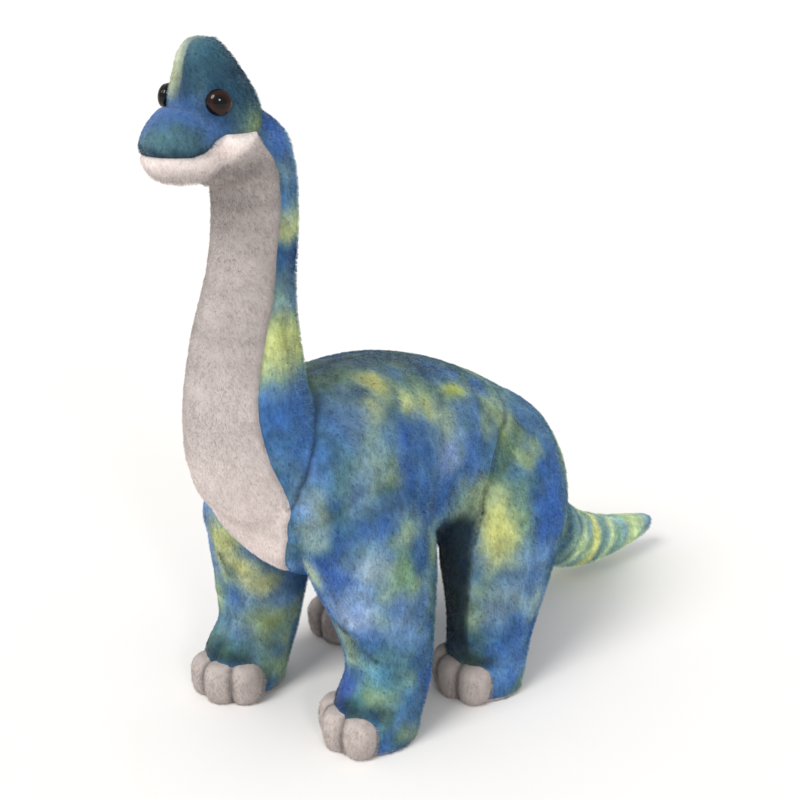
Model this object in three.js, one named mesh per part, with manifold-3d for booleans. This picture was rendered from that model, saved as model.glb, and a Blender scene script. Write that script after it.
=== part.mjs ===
// A stuffed long-necked dinosaur that stands on four legs: sewn plush panels over a fibre filling,
// with plastic eyes held by washers. Millimetres, +Z up, the nose points to -Y and its left is +X.
// It stands on z = 0, with the middle of its whole length over the origin.
import * as THREE from "three";
import { mergeVertices } from "three/addons/utils/BufferGeometryUtils.js";
import Module from "manifold-3d";

const wasm = await Module();
wasm.setup();

// ---- driving dimensions -------------------------------------------------------------------
const FABRIC = 2.2; // backing cloth and pile together
const FILL_INSET = 4.2; // the filling lies this far under the outside of the pile
const SEAM = 0.3; // gap between neighbouring pieces
const SOLE = 2.4; // height of the flat sole under each foot
const SOLE_INSET = 1; // how far the sole lies inside the foot's outline
const BODY_SHIFT = -94.2; // centres the whole length, nose to tail tip, over the origin
const MERGE = 1e-3; // corners closer than this are one corner
const SNAP = 0.01; // corners of a finished piece lie on a grid this fine
const POLE_ROOM = 0.5; // least distance of a ring from a pole, and least size of a ring
const FAR = 400; // longer than anything that is cut
const FILL_FLOOR = 108; // the trunk's filling stays above this over the legs
const FILL_KEEL = 4; // half width of the filling between the legs
const FILL_KEEL_FLOOR = 60;
const CLOSE = 0.2; // a cut round a leg or the neck stays this far outside it
const FILL_SIDES = 8; // sides of a filling's rings
const JOINT_SPARE = 0.4; // degrees kept free on each side of a joint beyond its turn
const JOINT_GAP = 0.3; // and the distance that each side keeps from the joint's middle
const SWEEP_SIDES = 10; // sides of the rings of the room that a turning piece needs
const SWEEP_ROOM = 4; // at the corners of those rings, so at least 1.6 at the sides

// A joint's axis passes through `y` and `z` (the tail's through `x` and `y`), `turn` is how far
// it goes each way in degrees, and `slope` is the angle of the parting through it.
const HEAD_JOINT = { y: -52, z: 326, turn: 10, slope: 28 };
const NECK_JOINT = { y: -58, z: 203, turn: 12, slope: 0 };
const FORELEG_JOINT = { y: -10, z: 100, turn: 12, slope: 0 };
const HINDLEG_JOINT = { y: 98, z: 100, turn: 12, slope: 0 };
const TAIL_JOINT = { x: 3, y: 190, turn: 15 };

// Legs are slightly askew: below this height a foreleg slides outwards along x, and along y,
// towards its foot.
const LEAN_END = 150;
const UPRIGHT = { x: 0, y: 0 };
const FORELEG_LEAN = { left: { x: 0, y: 12 }, right: { x: 11.5, y: 1 } };

// Plastic safety eyes: a dome on a ribless shank, and a washer that locks it inside.
const EYE = {
  middle: [18.2, -84.5, 352.5],
  outward: [0.82, -0.55, 0.16],
  radius: 6.1,
  dome: 4.4,
  rim: 0.9,
  lift: 0.4,
  shank: 1.7,
  shankLength: 10,
  segments: 14,
};
const WASHER = { radius: 6, thickness: 1.6, depth: 5 };

// ---- outlines -----------------------------------------------------------------------------
// Each loft is a row of rings. "z" rings lie flat: [z, x, y, half width in x, half depth in y].
// "y" rings stand across the body: [y, x, z, half width in x, half height in z].
const SKULL = {
  axis: "z",
  sides: 16,
  rings: [
    [380, 0, -78, 0, 0],
    [378, 0, -78, 7, 7.5],
    [372, 0, -77, 13, 13.5],
    [362, 0, -74.5, 17.5, 19],
    [351, 0, -72.5, 21, 23.5],
    [339, 0, -70, 22, 25],
    [327, 0, -68, 21.5, 25],
    [317, 0, -67, 17, 20],
    [311, 0, -67, 9, 10],
    [309, 0, -67, 0, 0],
  ],
};
const SNOUT = {
  axis: "z",
  sides: 16,
  rings: [
    [352, 0, -88, 0, 0],
    [350, 0, -88.5, 9, 9],
    [345, 0, -90, 15.5, 15.5],
    [338, 0, -91.5, 19.5, 19.5],
    [330, 0, -92.5, 21, 21],
    [322, 0, -92, 19.5, 19.5],
    [316.5, 0, -90.5, 14, 14.5],
    [313.5, 0, -89, 0, 0],
  ],
};
const NECK = {
  axis: "z",
  sides: 16,
  rings: [
    [346, 0, -54, 0, 0],
    [342, 0, -53, 12, 12],
    [332, 0, -51, 19.5, 20],
    [316, 0, -49, 22.4, 22.6],
    [290, 0, -48.5, 22.6, 22.8],
    [268, 0, -51.5, 23.5, 23.6],
    [246, 0, -55.5, 26.3, 26.6],
    [222, 0, -58, 30, 30.4],
    [199, 0, -58, 33.5, 33.5],
    [175, 0, -53.5, 37, 37],
    [160, 0, -49, 38.5, 38.5],
    [148, 0, -44, 38, 38],
    [135, 0, -37, 33, 33],
    [121, 0, -31, 26, 30],
    [107, 0, -27, 16, 22],
    [97, 0, -24, 0, 0],
  ],
};
const TORSO = {
  axis: "y",
  sides: 20,
  rings: [
    [-72, 0, 158, 0, 0],
    [-69, 0, 158, 22, 18],
    [-61, 0, 156, 38, 34],
    [-50, 0, 154, 46, 46],
    [-34, 0, 150, 50, 54],
    [-5, 0, 146.5, 53.5, 60],
    [30, 0, 144, 55, 61],
    [65, 0, 138, 57, 59],
    [98, 0, 128, 57, 55.5],
    [128, 0, 115, 53, 52],
    [152, 0, 103, 46, 46.5],
    [170, 0, 93, 34, 36],
    [181, 0, 86, 18, 20],
    [185, 0, 84, 0, 0],
  ],
};
const TAIL = {
  axis: "y",
  sides: 12,
  rings: [
    [138, 0, 98, 0, 0],
    [146, 0, 94, 30, 32],
    [162, 1, 79, 33, 37],
    [180, 2, 61, 30.5, 34.5],
    [202, 4, 43, 25.5, 29],
    [228, 8, 29, 20, 22],
    [255, 13, 23, 15.5, 16],
    [280, 18, 21.5, 11, 11.5],
    [296, 21, 22.5, 6.8, 7],
    [302, 22, 23, 0, 0],
  ],
};
const FORELEG = {
  axis: "z",
  sides: 14,
  rings: [
    [0, 42, -23, 24, 27],
    [14, 42, -21.5, 25, 29],
    [28, 43, -15.5, 24.5, 30],
    [42, 43, -9.5, 23.5, 27.5],
    [70, 42, -8.5, 25.5, 31.5],
    [100, 37, -8, 28.5, 41],
    [126, 34, -12.5, 28, 44],
    [150, 28, -13, 24, 39],
    [168, 20, -11, 12, 21],
    [175, 17, -10, 0, 0],
  ],
};
const HINDLEG = {
  axis: "z",
  sides: 14,
  rings: [
    [0, 53, 71, 24, 23.5],
    [14, 53, 73, 24.5, 25],
    [38, 52, 79, 25, 30],
    [68, 49, 89, 28, 41],
    [100, 43, 99.5, 33, 49],
    [126, 36, 105, 30.5, 48],
    [148, 28, 105, 24, 40],
    [164, 20, 105, 12, 22],
    [170, 18, 105, 0, 0],
  ],
};
// A toe is half a ball; `spread` is the angle between toes, `turnedIn` turns the row of them
// towards the other foot, and `reach` is how far out they sit.
const TOE = {
  wide: 11.2,
  deep: 11,
  tall: 14.5,
  lift: 10.5,
  spread: 40,
  turnedIn: 14,
  reach: 0.8,
  sides: 10,
  rings: 7,
};

// Seams. The bib is drawn from the front in x and z; the others from the side in y and z.
const BIB = [
  [22, 360],
  [20.5, 320],
  [22.4, 290],
  [23, 258],
  [25, 235],
  [27.5, 203],
  [32, 178],
  [34, 160],
  [33.5, 148],
  [28, 130],
  [20, 117],
  [13, 108],
  [7, 101.5],
  [0, 94],
];
// How far back along y the bib reaches on the throat, the chest and its tip below `tipTop`.
const BIB_BACK = { throat: -52, chest: -40, tip: -14, tipTop: 130 };
const LIP = [
  [-140, 327],
  [-104, 329],
  [-84, 338],
];
const CHEEK = [
  [-50, 339],
  [-20, 345],
];
const BROW = [
  [-95, 352.5],
  [-140, 362],
];
const HIP = [
  [92, 230],
  [88, 165],
  [76, 130],
  [40, 84],
  [34, 60],
];
const BELLY = { halfWidth: 17, top: 106, front: -16, back: 118 };

// ---- solids -------------------------------------------------------------------------------
function solidOf(geometry) {
  const bare = geometry.clone();
  bare.deleteAttribute("normal");
  bare.deleteAttribute("uv");
  const merged = mergeVertices(bare, MERGE);
  return new wasm.Manifold(
    new wasm.Mesh({
      numProp: 3,
      vertProperties: new Float32Array(merged.attributes.position.array),
      triVerts: new Uint32Array(merged.index.array),
    }),
  );
}

function geometryOf(solid) {
  const mesh = solid.getMesh();
  const geometry = new THREE.BufferGeometry();
  geometry.setAttribute("position", new THREE.BufferAttribute(mesh.vertProperties, 3));
  geometry.setIndex(new THREE.BufferAttribute(mesh.triVerts, 1));
  geometry.computeVertexNormals();
  return geometry;
}

function unionOf(solids) {
  return solids.reduce((sum, solid) => sum.add(solid));
}

// Rings shrunk by `inset`, with the first and last pulled in along the axis, and without the
// rings that this leaves no room for.
function insetRings(rings, inset) {
  const last = rings.length - 1;
  const way = Math.sign(rings[last][0] - rings[0][0]);
  const ends = [rings[0][0] + way * inset, rings[last][0] - way * inset];
  const within = (at) => (at - ends[0]) * way > POLE_ROOM && (ends[1] - at) * way > POLE_ROOM;
  return rings.flatMap(([at, p, q, a, b], i) => {
    const size = [Math.max(a - inset, 0), Math.max(b - inset, 0)];
    if (i === 0 || i === last) return [[ends[i === 0 ? 0 : 1], p, q, ...size]];
    return within(at) && Math.min(...size) > POLE_ROOM ? [[at, p, q, ...size]] : [];
  });
}

// A solid through rings; a ring without size is a pole, and other ends are closed flat.
// `lean` slides the bottom of a leg along x and y, and less and less towards its top.
function loft(outline, { inset = 0, mirror = 1, lean = UPRIGHT, sides = outline.sides } = {}) {
  const { axis, rings } = outline;
  const share = (at) => Math.max(0, 1 - at / LEAN_END);
  const posed = rings.map(([at, p, q, a, b]) => {
    return [at, p + lean.x * share(at), q + lean.y * share(at), a, b];
  });
  const drawn = inset ? insetRings(posed, inset) : posed;
  const count = drawn.length - 1;
  const points = [];
  const rows = [];
  const place = (at, p, q) => (axis === "z" ? [mirror * p, q, at] : [mirror * p, at, q]);
  for (const [at, p, q, a, b] of drawn) {
    const start = points.length / 3;
    const around = a === 0 ? 1 : sides;
    for (let side = 0; side < around; side++) {
      const turn = (side / sides) * 2 * Math.PI;
      points.push(...place(at, p + a * Math.sin(turn), q + b * Math.cos(turn)));
    }
    rows.push({ start, around });
  }
  const faces = [];
  const corner = ({ start, around }, side) => start + (around === 1 ? 0 : side % sides);
  for (let row = 0; row < count; row++) {
    for (let side = 0; side < sides; side++) {
      const [a, b] = [corner(rows[row], side), corner(rows[row], side + 1)];
      const [c, d] = [corner(rows[row + 1], side), corner(rows[row + 1], side + 1)];
      if (a !== b) faces.push([a, b, d]);
      if (c !== d) faces.push([a, d, c]);
    }
  }
  for (const [row, flip] of [
    [rows[0], true],
    [rows[count], false],
  ]) {
    for (let side = 1; row.around > 1 && side < sides - 1; side++) {
      const fan = [row.start, row.start + side, row.start + side + 1];
      faces.push(flip ? fan.reverse() : fan);
    }
  }
  const geometry = new THREE.BufferGeometry();
  geometry.setAttribute("position", new THREE.Float32BufferAttribute(points, 3));
  geometry.setIndex(faces.flat());
  let solid = solidOf(geometry);
  if (solid.volume() < 0) {
    geometry.setIndex(faces.map((face) => face.toReversed()).flat());
    solid = solidOf(geometry);
  }
  return solid;
}

// A prism of an outline drawn from the side in y and z, right across the toy.
function sidePrism(outline) {
  const shape = new THREE.Shape(outline.map(([y, z]) => new THREE.Vector2(y, z)));
  const geometry = new THREE.ExtrudeGeometry(shape, { depth: FAR, bevelEnabled: false });
  geometry.translate(0, 0, -FAR / 2);
  geometry.applyMatrix4(
    new THREE.Matrix4().makeBasis(
      new THREE.Vector3(0, 1, 0),
      new THREE.Vector3(0, 0, 1),
      new THREE.Vector3(1, 0, 0),
    ),
  );
  return solidOf(geometry);
}

// A prism of an outline drawn from the front in x and z, forwards from y = `back`.
function frontPrism(outline, back) {
  const shape = new THREE.Shape(outline.map(([x, z]) => new THREE.Vector2(x, z)));
  const geometry = new THREE.ExtrudeGeometry(shape, { depth: FAR, bevelEnabled: false });
  geometry.rotateX(Math.PI / 2);
  geometry.translate(0, back, 0);
  return solidOf(geometry);
}

function block(low, high) {
  const size = high.map((value, i) => value - low[i]);
  const geometry = new THREE.BoxGeometry(...size);
  geometry.translate(...low.map((value, i) => value + size[i] / 2));
  return solidOf(geometry);
}

// Half of space on one side of a plane through an x axis, sloping up towards +Y by `angle`.
function halfSpace({ y, z }, angle, above) {
  const geometry = new THREE.BoxGeometry(FAR, FAR * 2, FAR * 2);
  geometry.translate(0, 0, above ? FAR : -FAR);
  geometry.rotateX(THREE.MathUtils.degToRad(angle));
  geometry.translate(0, y, z);
  return solidOf(geometry);
}

// Half of space in front of or behind a plane through an upright axis.
function uprightHalfSpace({ x, y }, angle, behind) {
  const geometry = new THREE.BoxGeometry(FAR * 2, FAR * 2, FAR * 2);
  geometry.translate(0, behind ? FAR : -FAR, 0);
  geometry.rotateZ(THREE.MathUtils.degToRad(angle));
  geometry.translate(x, y, 0);
  return solidOf(geometry);
}

// What lies on one side of a joint outside the wedge that it turns in. `spare` widens the side
// back towards the joint by that many degrees.
function partAt(solid, joint, farSide, spare = 0) {
  const half = joint.turn / 2 + JOINT_SPARE - spare;
  const gap = (farSide === (spare === 0) ? 1 : -1) * JOINT_GAP;
  const upright = joint.z === undefined;
  const makeHalf = upright ? uprightHalfSpace : halfSpace;
  const place = upright ? { x: joint.x, y: joint.y + gap } : { y: joint.y, z: joint.z + gap };
  const slope = joint.slope ?? 0;
  const first = makeHalf(place, slope + half, farSide);
  const second = makeHalf(place, slope - half, farSide);
  return solid.intersect(first).intersect(second);
}

function turnedAbout(solid, { y, z }, angle) {
  const geometry = geometryOf(solid);
  geometry.translate(0, -y, -z);
  geometry.rotateX(THREE.MathUtils.degToRad(angle));
  geometry.translate(0, y, z);
  return solidOf(geometry);
}

// The room that a piece passes through as its joint turns.
function sweep(solid, joint) {
  const { turn } = joint;
  return unionOf([-turn, 0, turn].map((angle) => turnedAbout(solid, joint, angle)));
}

// An outline with every edge moved outwards by `by`.
function grown(outline, by) {
  const area = THREE.ShapeUtils.area(outline.map(([p, q]) => new THREE.Vector2(p, q)));
  const side = Math.sign(area) * by;
  return outline.map((point, i) => {
    const before = outline.at(i - 1);
    const after = outline[(i + 1) % outline.length];
    const a = new THREE.Vector2(point[0] - before[0], point[1] - before[1]).normalize();
    const b = new THREE.Vector2(after[0] - point[0], after[1] - point[1]).normalize();
    const normal = new THREE.Vector2(a.y + b.y, -a.x - b.x);
    const scale = (2 * side) / normal.lengthSq();
    return [point[0] + normal.x * scale, point[1] + normal.y * scale];
  });
}

// Rounds the corners' places and drops the crumbs that a cut can leave beside the piece.
function mainBody(solid) {
  const geometry = geometryOf(solid);
  const corners = geometry.attributes.position.array;
  corners.forEach((value, i) => (corners[i] = Math.round(value / SNAP) * SNAP));
  const bodies = solidOf(geometry).decompose();
  return bodies.reduce((best, body) => (body.volume() > best.volume() ? body : best));
}

// ---- materials ----------------------------------------------------------------------------
function surface(color, roughness) {
  return new THREE.MeshStandardMaterial({ color, roughness, metalness: 0 });
}
const BLUE_PLUSH = surface(0x3c68a2, 0.95);
const GREIGE_PLUSH = surface(0xc9bdb4, 0.95);
const FILLING = surface(0xf2f2ee, 1);
const EYE_PLASTIC = surface(0x2a120a, 0.1);
const WASHER_PLASTIC = surface(0xe8e8e8, 0.4);

const root = new THREE.Group();
const toy = new THREE.Group();
toy.position.y = BODY_SHIFT;
root.add(toy);

function addPiece(name, solid, material) {
  const mesh = new THREE.Mesh(geometryOf(mainBody(solid)), material);
  mesh.name = name;
  toy.add(mesh);
}

// ---- the whole outside, one skin thickness in, and the filling, for every body ------------
const SIDES = [
  { side: "left", mirror: 1 },
  { side: "right", mirror: -1 },
];

const LEGS = SIDES.flatMap(({ side, mirror }) => {
  const fore = { outline: FORELEG, joint: FORELEG_JOINT, mirror, lean: FORELEG_LEAN[side] };
  const hind = { outline: HINDLEG, joint: HINDLEG_JOINT, mirror, lean: UPRIGHT };
  return [
    { name: "foreleg_" + side, ...fore },
    { name: "hindleg_" + side, ...hind },
  ];
});

function wholeLeg({ outline, mirror, lean }, drawing) {
  return loft(outline, { ...drawing, mirror, lean });
}

function wholeToy(drawing) {
  const trunk = [SKULL, SNOUT, NECK, TORSO, TAIL].map((outline) => loft(outline, drawing));
  return unionOf([...trunk, ...LEGS.map((leg) => wholeLeg(leg, drawing))]);
}

const skin = wholeToy({}).subtract(wholeToy({ inset: FABRIC }));
const filling = wholeToy({ inset: FILL_INSET, sides: FILL_SIDES });

// The rooms that the turning pieces sweep out of the trunk.
const ROOM = { inset: -SWEEP_ROOM, sides: SWEEP_SIDES };
const room = (piece, joint, above) => sweep(partAt(piece, joint, above, 2 * JOINT_SPARE), joint);
const legRoom = unionOf(LEGS.map((leg) => room(wholeLeg(leg, ROOM), leg.joint, false)));
const neckRoom = room(loft(NECK, ROOM), NECK_JOINT, true);

function headOf(solid) {
  return partAt(solid, HEAD_JOINT, true);
}

function neckOf(solid) {
  const inNeck = solid.intersect(loft(NECK, { inset: -CLOSE }));
  return partAt(partAt(inNeck, HEAD_JOINT, false), NECK_JOINT, true);
}

function trunkOf(solid) {
  const highest = Math.max(...TORSO.rings.map(([, , z, , b]) => z + b)) + 1;
  const low = solid.intersect(block([-FAR, -FAR, 0], [FAR, FAR, highest]));
  return partAt(low.subtract(neckRoom), TAIL_JOINT, false);
}

function tailOf(solid) {
  return partAt(solid, TAIL_JOINT, true);
}

function legOf(solid, leg) {
  const above = block([-FAR, -FAR, SOLE], [FAR, FAR, FAR]);
  const inLeg = solid.intersect(wholeLeg(leg, { inset: -CLOSE }).intersect(above));
  return partAt(inLeg, leg.joint, false);
}

// The trunk's filling ends above the legs, apart from a keel between them.
function trunkFilling() {
  const above = block([-FAR, -FAR, FILL_FLOOR], [FAR, FAR, FAR]);
  const keel = block([-FILL_KEEL, -FAR, FILL_KEEL_FLOOR], [FILL_KEEL, FAR, FAR]);
  return trunkOf(filling).intersect(above.add(keel));
}

const leftHalf = block([SEAM / 2, -FAR, -FAR], [FAR, FAR, FAR]);
const rightHalf = block([-FAR, -FAR, -FAR], [-SEAM / 2, FAR, FAR]);
const halves = { left: leftHalf, right: rightHalf };

// ---- head ---------------------------------------------------------------------------------
const cheekOutline = [...LIP, ...CHEEK, [-20, 290], [-140, 290]];
const snoutOutline = [...LIP, ...BROW];
const jawRegion = sidePrism(cheekOutline);
const jawCleared = sidePrism(grown(cheekOutline, SEAM));
const snoutRegion = sidePrism(snoutOutline);
const snoutCleared = sidePrism(grown(snoutOutline, SEAM));

function alongEye(geometry, mirror) {
  const way = new THREE.Vector3(...EYE.outward).normalize();
  const turn = new THREE.Quaternion().setFromUnitVectors(new THREE.Vector3(0, 1, 0), way);
  geometry.applyQuaternion(turn);
  geometry.translate(...EYE.middle);
  if (mirror < 0) geometry.scale(-1, 1, 1);
  return geometry;
}

// A solid of revolution about the line of an eye; the profile is [radius, distance outwards].
function eyeLathe(profile, mirror) {
  const points = profile.map(([r, along]) => new THREE.Vector2(r, along));
  const geometry = alongEye(new THREE.LatheGeometry(points, EYE.segments), mirror);
  if (mirror < 0) geometry.index.array.reverse();
  return solidOf(geometry);
}

function eyeProfile() {
  const { radius, dome, rim, lift, shank, shankLength } = EYE;
  const arc = [0, 0.2, 0.4, 0.6, 0.8].map((t) => {
    const angle = (t * Math.PI) / 2;
    return [radius * Math.cos(angle), lift + rim + (dome - rim) * Math.sin(angle)];
  });
  const inside = [[0, -shankLength], [shank, -shankLength], [shank, lift], [radius, lift]];
  return [...inside, ...arc, [0, lift + dome]];
}

// A hole along the line of an eye, from `deep` inside to well outside.
function eyeHole(radius, deep, mirror) {
  return eyeLathe([[0, -deep], [radius, -deep], [radius, EYE.shankLength], [0, EYE.shankLength]], mirror);
}

const skullSkin = headOf(skin);
const shankHole = (mirror) => eyeHole(EYE.shank + SEAM, EYE.shankLength * 2, mirror);
const washerHole = (mirror) => {
  return eyeHole(WASHER.radius + SEAM, WASHER.depth + WASHER.thickness + SEAM, mirror);
};

let headFilling = headOf(filling);
for (const { side, mirror } of SIDES) {
  const panel = skullSkin.subtract(jawCleared).subtract(snoutCleared).intersect(halves[side]);
  addPiece("head_panel_" + side, panel.subtract(shankHole(mirror)), BLUE_PLUSH);
  addPiece("eye_" + side, eyeLathe(eyeProfile(), mirror), EYE_PLASTIC);
  const [inner, outer] = [EYE.shank + SEAM, WASHER.radius];
  const [back, front] = [-WASHER.depth - WASHER.thickness, -WASHER.depth];
  const ring = [[inner, back], [outer, back], [outer, front], [inner, front], [inner, back]];
  addPiece("eye_washer_" + side, eyeLathe(ring, mirror), WASHER_PLASTIC);
  headFilling = headFilling.subtract(shankHole(mirror)).subtract(washerHole(mirror));
}
addPiece("snout_panel", skullSkin.intersect(snoutRegion), BLUE_PLUSH);
addPiece("jaw_panel", skullSkin.subtract(snoutCleared).intersect(jawRegion), GREIGE_PLUSH);
addPiece("head_filling", headFilling, FILLING);

// ---- neck ---------------------------------------------------------------------------------
const bibOutline = [...BIB, ...BIB.slice(0, -1).map(([x, z]) => [-x, z]).reverse()];
const bibTip = block([-FAR, -FAR, 0], [FAR, FAR, BIB_BACK.tipTop]);

function bibRegion(grow) {
  const outline = grown(bibOutline, grow);
  const tip = frontPrism(outline, BIB_BACK.tip + grow).intersect(bibTip);
  return frontPrism(outline, BIB_BACK.chest + grow).add(tip);
}

const neckSkin = neckOf(skin);
const throatCleared = frontPrism(grown(bibOutline, SEAM), BIB_BACK.throat + SEAM);
addPiece("throat_panel", neckSkin.intersect(frontPrism(bibOutline, BIB_BACK.throat)), GREIGE_PLUSH);
for (const { side } of SIDES) {
  const panel = neckSkin.subtract(throatCleared).intersect(halves[side]);
  addPiece("neck_panel_" + side, panel, BLUE_PLUSH);
}
addPiece("neck_filling", neckOf(filling), FILLING);

// ---- torso --------------------------------------------------------------------------------
const torsoSkin = trunkOf(skin).subtract(legRoom);
const hipOutline = [...HIP, [300, 60], [300, 230]];
const { halfWidth, top, front, back } = BELLY;
const bellyBlock = (grow) => {
  const half = halfWidth + grow;
  return block([-half, front - grow, 0], [half, back + grow, top + grow]);
};
const hipCleared = sidePrism(grown(hipOutline, SEAM));
const bibCleared = bibRegion(SEAM);
addPiece("chest_bib", torsoSkin.intersect(bibRegion(0)), GREIGE_PLUSH);
addPiece("belly_panel", torsoSkin.subtract(bibCleared).intersect(bellyBlock(0)), BLUE_PLUSH);
const torsoSides = torsoSkin.subtract(bibCleared).subtract(bellyBlock(SEAM));
for (const { side } of SIDES) {
  const half = torsoSides.intersect(halves[side]);
  addPiece("flank_panel_" + side, half.subtract(hipCleared), BLUE_PLUSH);
  addPiece("hip_panel_" + side, half.intersect(sidePrism(hipOutline)), BLUE_PLUSH);
}
addPiece("torso_filling", trunkFilling(), FILLING);

// ---- tail ---------------------------------------------------------------------------------
// The seam along the top of the tail follows its bend to the left.
function tailSide(mirror) {
  const ridge = TAIL.rings.map(([y, x]) => new THREE.Vector2(x + (mirror * SEAM) / 2, y));
  const [first, end] = [ridge[0].y, ridge.at(-1)];
  ridge.push(new THREE.Vector2(end.x, FAR));
  ridge.push(new THREE.Vector2(mirror * FAR, FAR));
  ridge.push(new THREE.Vector2(mirror * FAR, first));
  const shape = new THREE.Shape(ridge);
  return solidOf(new THREE.ExtrudeGeometry(shape, { depth: FAR, bevelEnabled: false }));
}

const tailSkin = tailOf(skin);
for (const { side, mirror } of SIDES) {
  addPiece("tail_panel_" + side, tailSkin.intersect(tailSide(mirror)), BLUE_PLUSH);
}
addPiece("tail_filling", tailOf(filling), FILLING);

// ---- legs ---------------------------------------------------------------------------------
// Three stuffed toes in a row round the front of a foot, flat underneath.
function toesOf({ outline, mirror, lean }) {
  const [, x, y, a, b] = outline.rings[0];
  const lobes = [-1, 0, 1].map((place) => {
    const turn = THREE.MathUtils.degToRad(place * TOE.spread - mirror * TOE.turnedIn);
    const geometry = new THREE.SphereGeometry(1, TOE.sides, TOE.rings);
    geometry.scale(TOE.wide, TOE.deep, TOE.tall);
    geometry.rotateZ(turn);
    geometry.translate(TOE.reach * a * Math.sin(turn), -TOE.reach * b * Math.cos(turn), TOE.lift);
    geometry.translate(mirror * (x + lean.x), y + lean.y, 0);
    return solidOf(geometry);
  });
  return unionOf(lobes).intersect(block([-FAR, -FAR, 0], [FAR, FAR, FAR]));
}

function soleOf({ outline, mirror, lean }) {
  const [, x, y, a, b] = outline.rings[0];
  const shape = new THREE.Shape();
  const [middleX, middleY] = [mirror * (x + lean.x), y + lean.y];
  shape.absellipse(middleX, middleY, a - SOLE_INSET, b - SOLE_INSET, 0, 2 * Math.PI, false, 0);
  const depth = SOLE - SEAM;
  return solidOf(new THREE.ExtrudeGeometry(shape, { depth, bevelEnabled: false, curveSegments: 10 }));
}

// The half of a leg that faces outwards or inwards, up to the seam along its front and back.
function legHalf(skinOfLeg, { outline, mirror, lean }, outer) {
  const seamX = mirror * (outline.rings[0][1] + lean.x / 2);
  const way = outer ? mirror : -mirror;
  const edge = seamX + (way * SEAM) / 2;
  const [low, high] = way > 0 ? [edge, FAR] : [-FAR, edge];
  return skinOfLeg.intersect(block([low, -FAR, 0], [high, FAR, FAR]));
}

for (const leg of LEGS) {
  const legSkin = legOf(skin, leg);
  const toes = toesOf(leg).subtract(wholeLeg(leg, { inset: -SEAM }));
  addPiece(leg.name + "_outer_panel", legHalf(legSkin, leg, true), BLUE_PLUSH);
  addPiece(leg.name + "_inner_panel", legHalf(legSkin, leg, false), BLUE_PLUSH);
  addPiece(leg.name + "_toes", toes, GREIGE_PLUSH);
  addPiece(leg.name + "_sole", soleOf(leg), GREIGE_PLUSH);
  addPiece(leg.name + "_filling", legOf(filling, leg), FILLING);
}

export default root;
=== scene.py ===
"""A stuffed long-necked dinosaur: sewn plush over filling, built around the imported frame."""

import math

import bmesh
import bpy
import numpy as np
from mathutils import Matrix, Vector, noise
from mathutils.kdtree import KDTree


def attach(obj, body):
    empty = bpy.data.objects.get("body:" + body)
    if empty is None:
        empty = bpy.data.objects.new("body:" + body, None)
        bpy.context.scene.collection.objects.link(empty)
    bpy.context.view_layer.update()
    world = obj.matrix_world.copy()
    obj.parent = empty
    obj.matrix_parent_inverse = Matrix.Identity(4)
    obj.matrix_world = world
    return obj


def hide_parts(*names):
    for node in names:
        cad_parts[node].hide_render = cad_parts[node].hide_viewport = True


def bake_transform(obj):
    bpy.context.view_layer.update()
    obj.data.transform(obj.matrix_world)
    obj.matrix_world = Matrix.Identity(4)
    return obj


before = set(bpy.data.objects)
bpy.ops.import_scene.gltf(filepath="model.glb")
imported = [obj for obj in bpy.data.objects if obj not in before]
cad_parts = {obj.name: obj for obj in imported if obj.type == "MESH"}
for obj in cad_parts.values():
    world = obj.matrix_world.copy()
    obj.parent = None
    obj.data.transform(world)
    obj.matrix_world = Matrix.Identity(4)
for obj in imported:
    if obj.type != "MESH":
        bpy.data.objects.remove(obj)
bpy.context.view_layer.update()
NOISE_SEED = 4
noise.seed_set(NOISE_SEED)  # unseeded, Blender's noise moves with the time of the run

# Everything is drawn in millimetres with y counted as in the part's own outlines, then moved
# into the row frame by to_row().
BODY_SHIFT = -94.2
MM = 0.001
PILE = 1.6  # how far the cloth lies inside the outside of the pile
SWELL = 1.0  # how much further in the cloth starts, before the filling swells it
SIMULATED = 0.5  # share of the swelling that follows the simulation; the rest is even
FINE_VOXEL = 0.0015
CLOTH_VOXEL = 0.005
CLOTH_FRAMES = 20
CLOTH_PRESSURE = 4
CLOTH_CAP = 3.0  # most that the simulation may move a point


def to_row(points):
    return (np.asarray(points, float) + (0, BODY_SHIFT, 0)) * MM


def from_row(points):
    return np.asarray(points, float) / MM - (0, BODY_SHIFT, 0)


# ---- outlines: the part's own rings ----
# "z" rings lie flat: (z, x, y, half width, half depth); "y" rings stand across the body:
# (y, x, z, half width, half height).
SKULL = ("z", [
    (381, 0, -78, 0, 0), (379, 0, -78, 7.5, 8), (372, 0, -77, 13.5, 14),
    (362, 0, -74.5, 17.5, 19), (351, 0, -72.5, 21, 23.5), (339, 0, -70, 22, 25),
    (327, 0, -68, 21.5, 25), (317, 0, -67, 17, 20), (311, 0, -67, 9, 10), (309, 0, -67, 0, 0),
])
SNOUT = ("z", [
    (352, 0, -88, 0, 0), (350, 0, -88.5, 9, 9), (345, 0, -90, 15.5, 15.5),
    (338, 0, -91.5, 19.5, 19.5), (330, 0, -92.5, 21, 21), (322, 0, -92, 19.5, 19.5),
    (316.5, 0, -90.5, 14, 14.5), (313.5, 0, -89, 0, 0),
])
NECK = ("z", [
    (346, 0, -54, 0, 0), (342, 0, -53, 12, 12), (332, 0, -51, 19.5, 20),
    (316, 0, -49, 22.4, 22.6), (290, 0, -48.5, 22.6, 22.8), (268, 0, -51.5, 23.5, 23.6),
    (246, 0, -55.5, 26.3, 26.6), (222, 0, -58, 30, 30.4), (199, 0, -58, 33.5, 33.5),
    (175, 0, -53.5, 37, 37), (160, 0, -49, 38.5, 38.5), (148, 0, -44, 38, 38),
    (135, 0, -37, 33, 33), (121, 0, -31, 26, 30), (107, 0, -27, 16, 22), (97, 0, -24, 0, 0),
])
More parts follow.
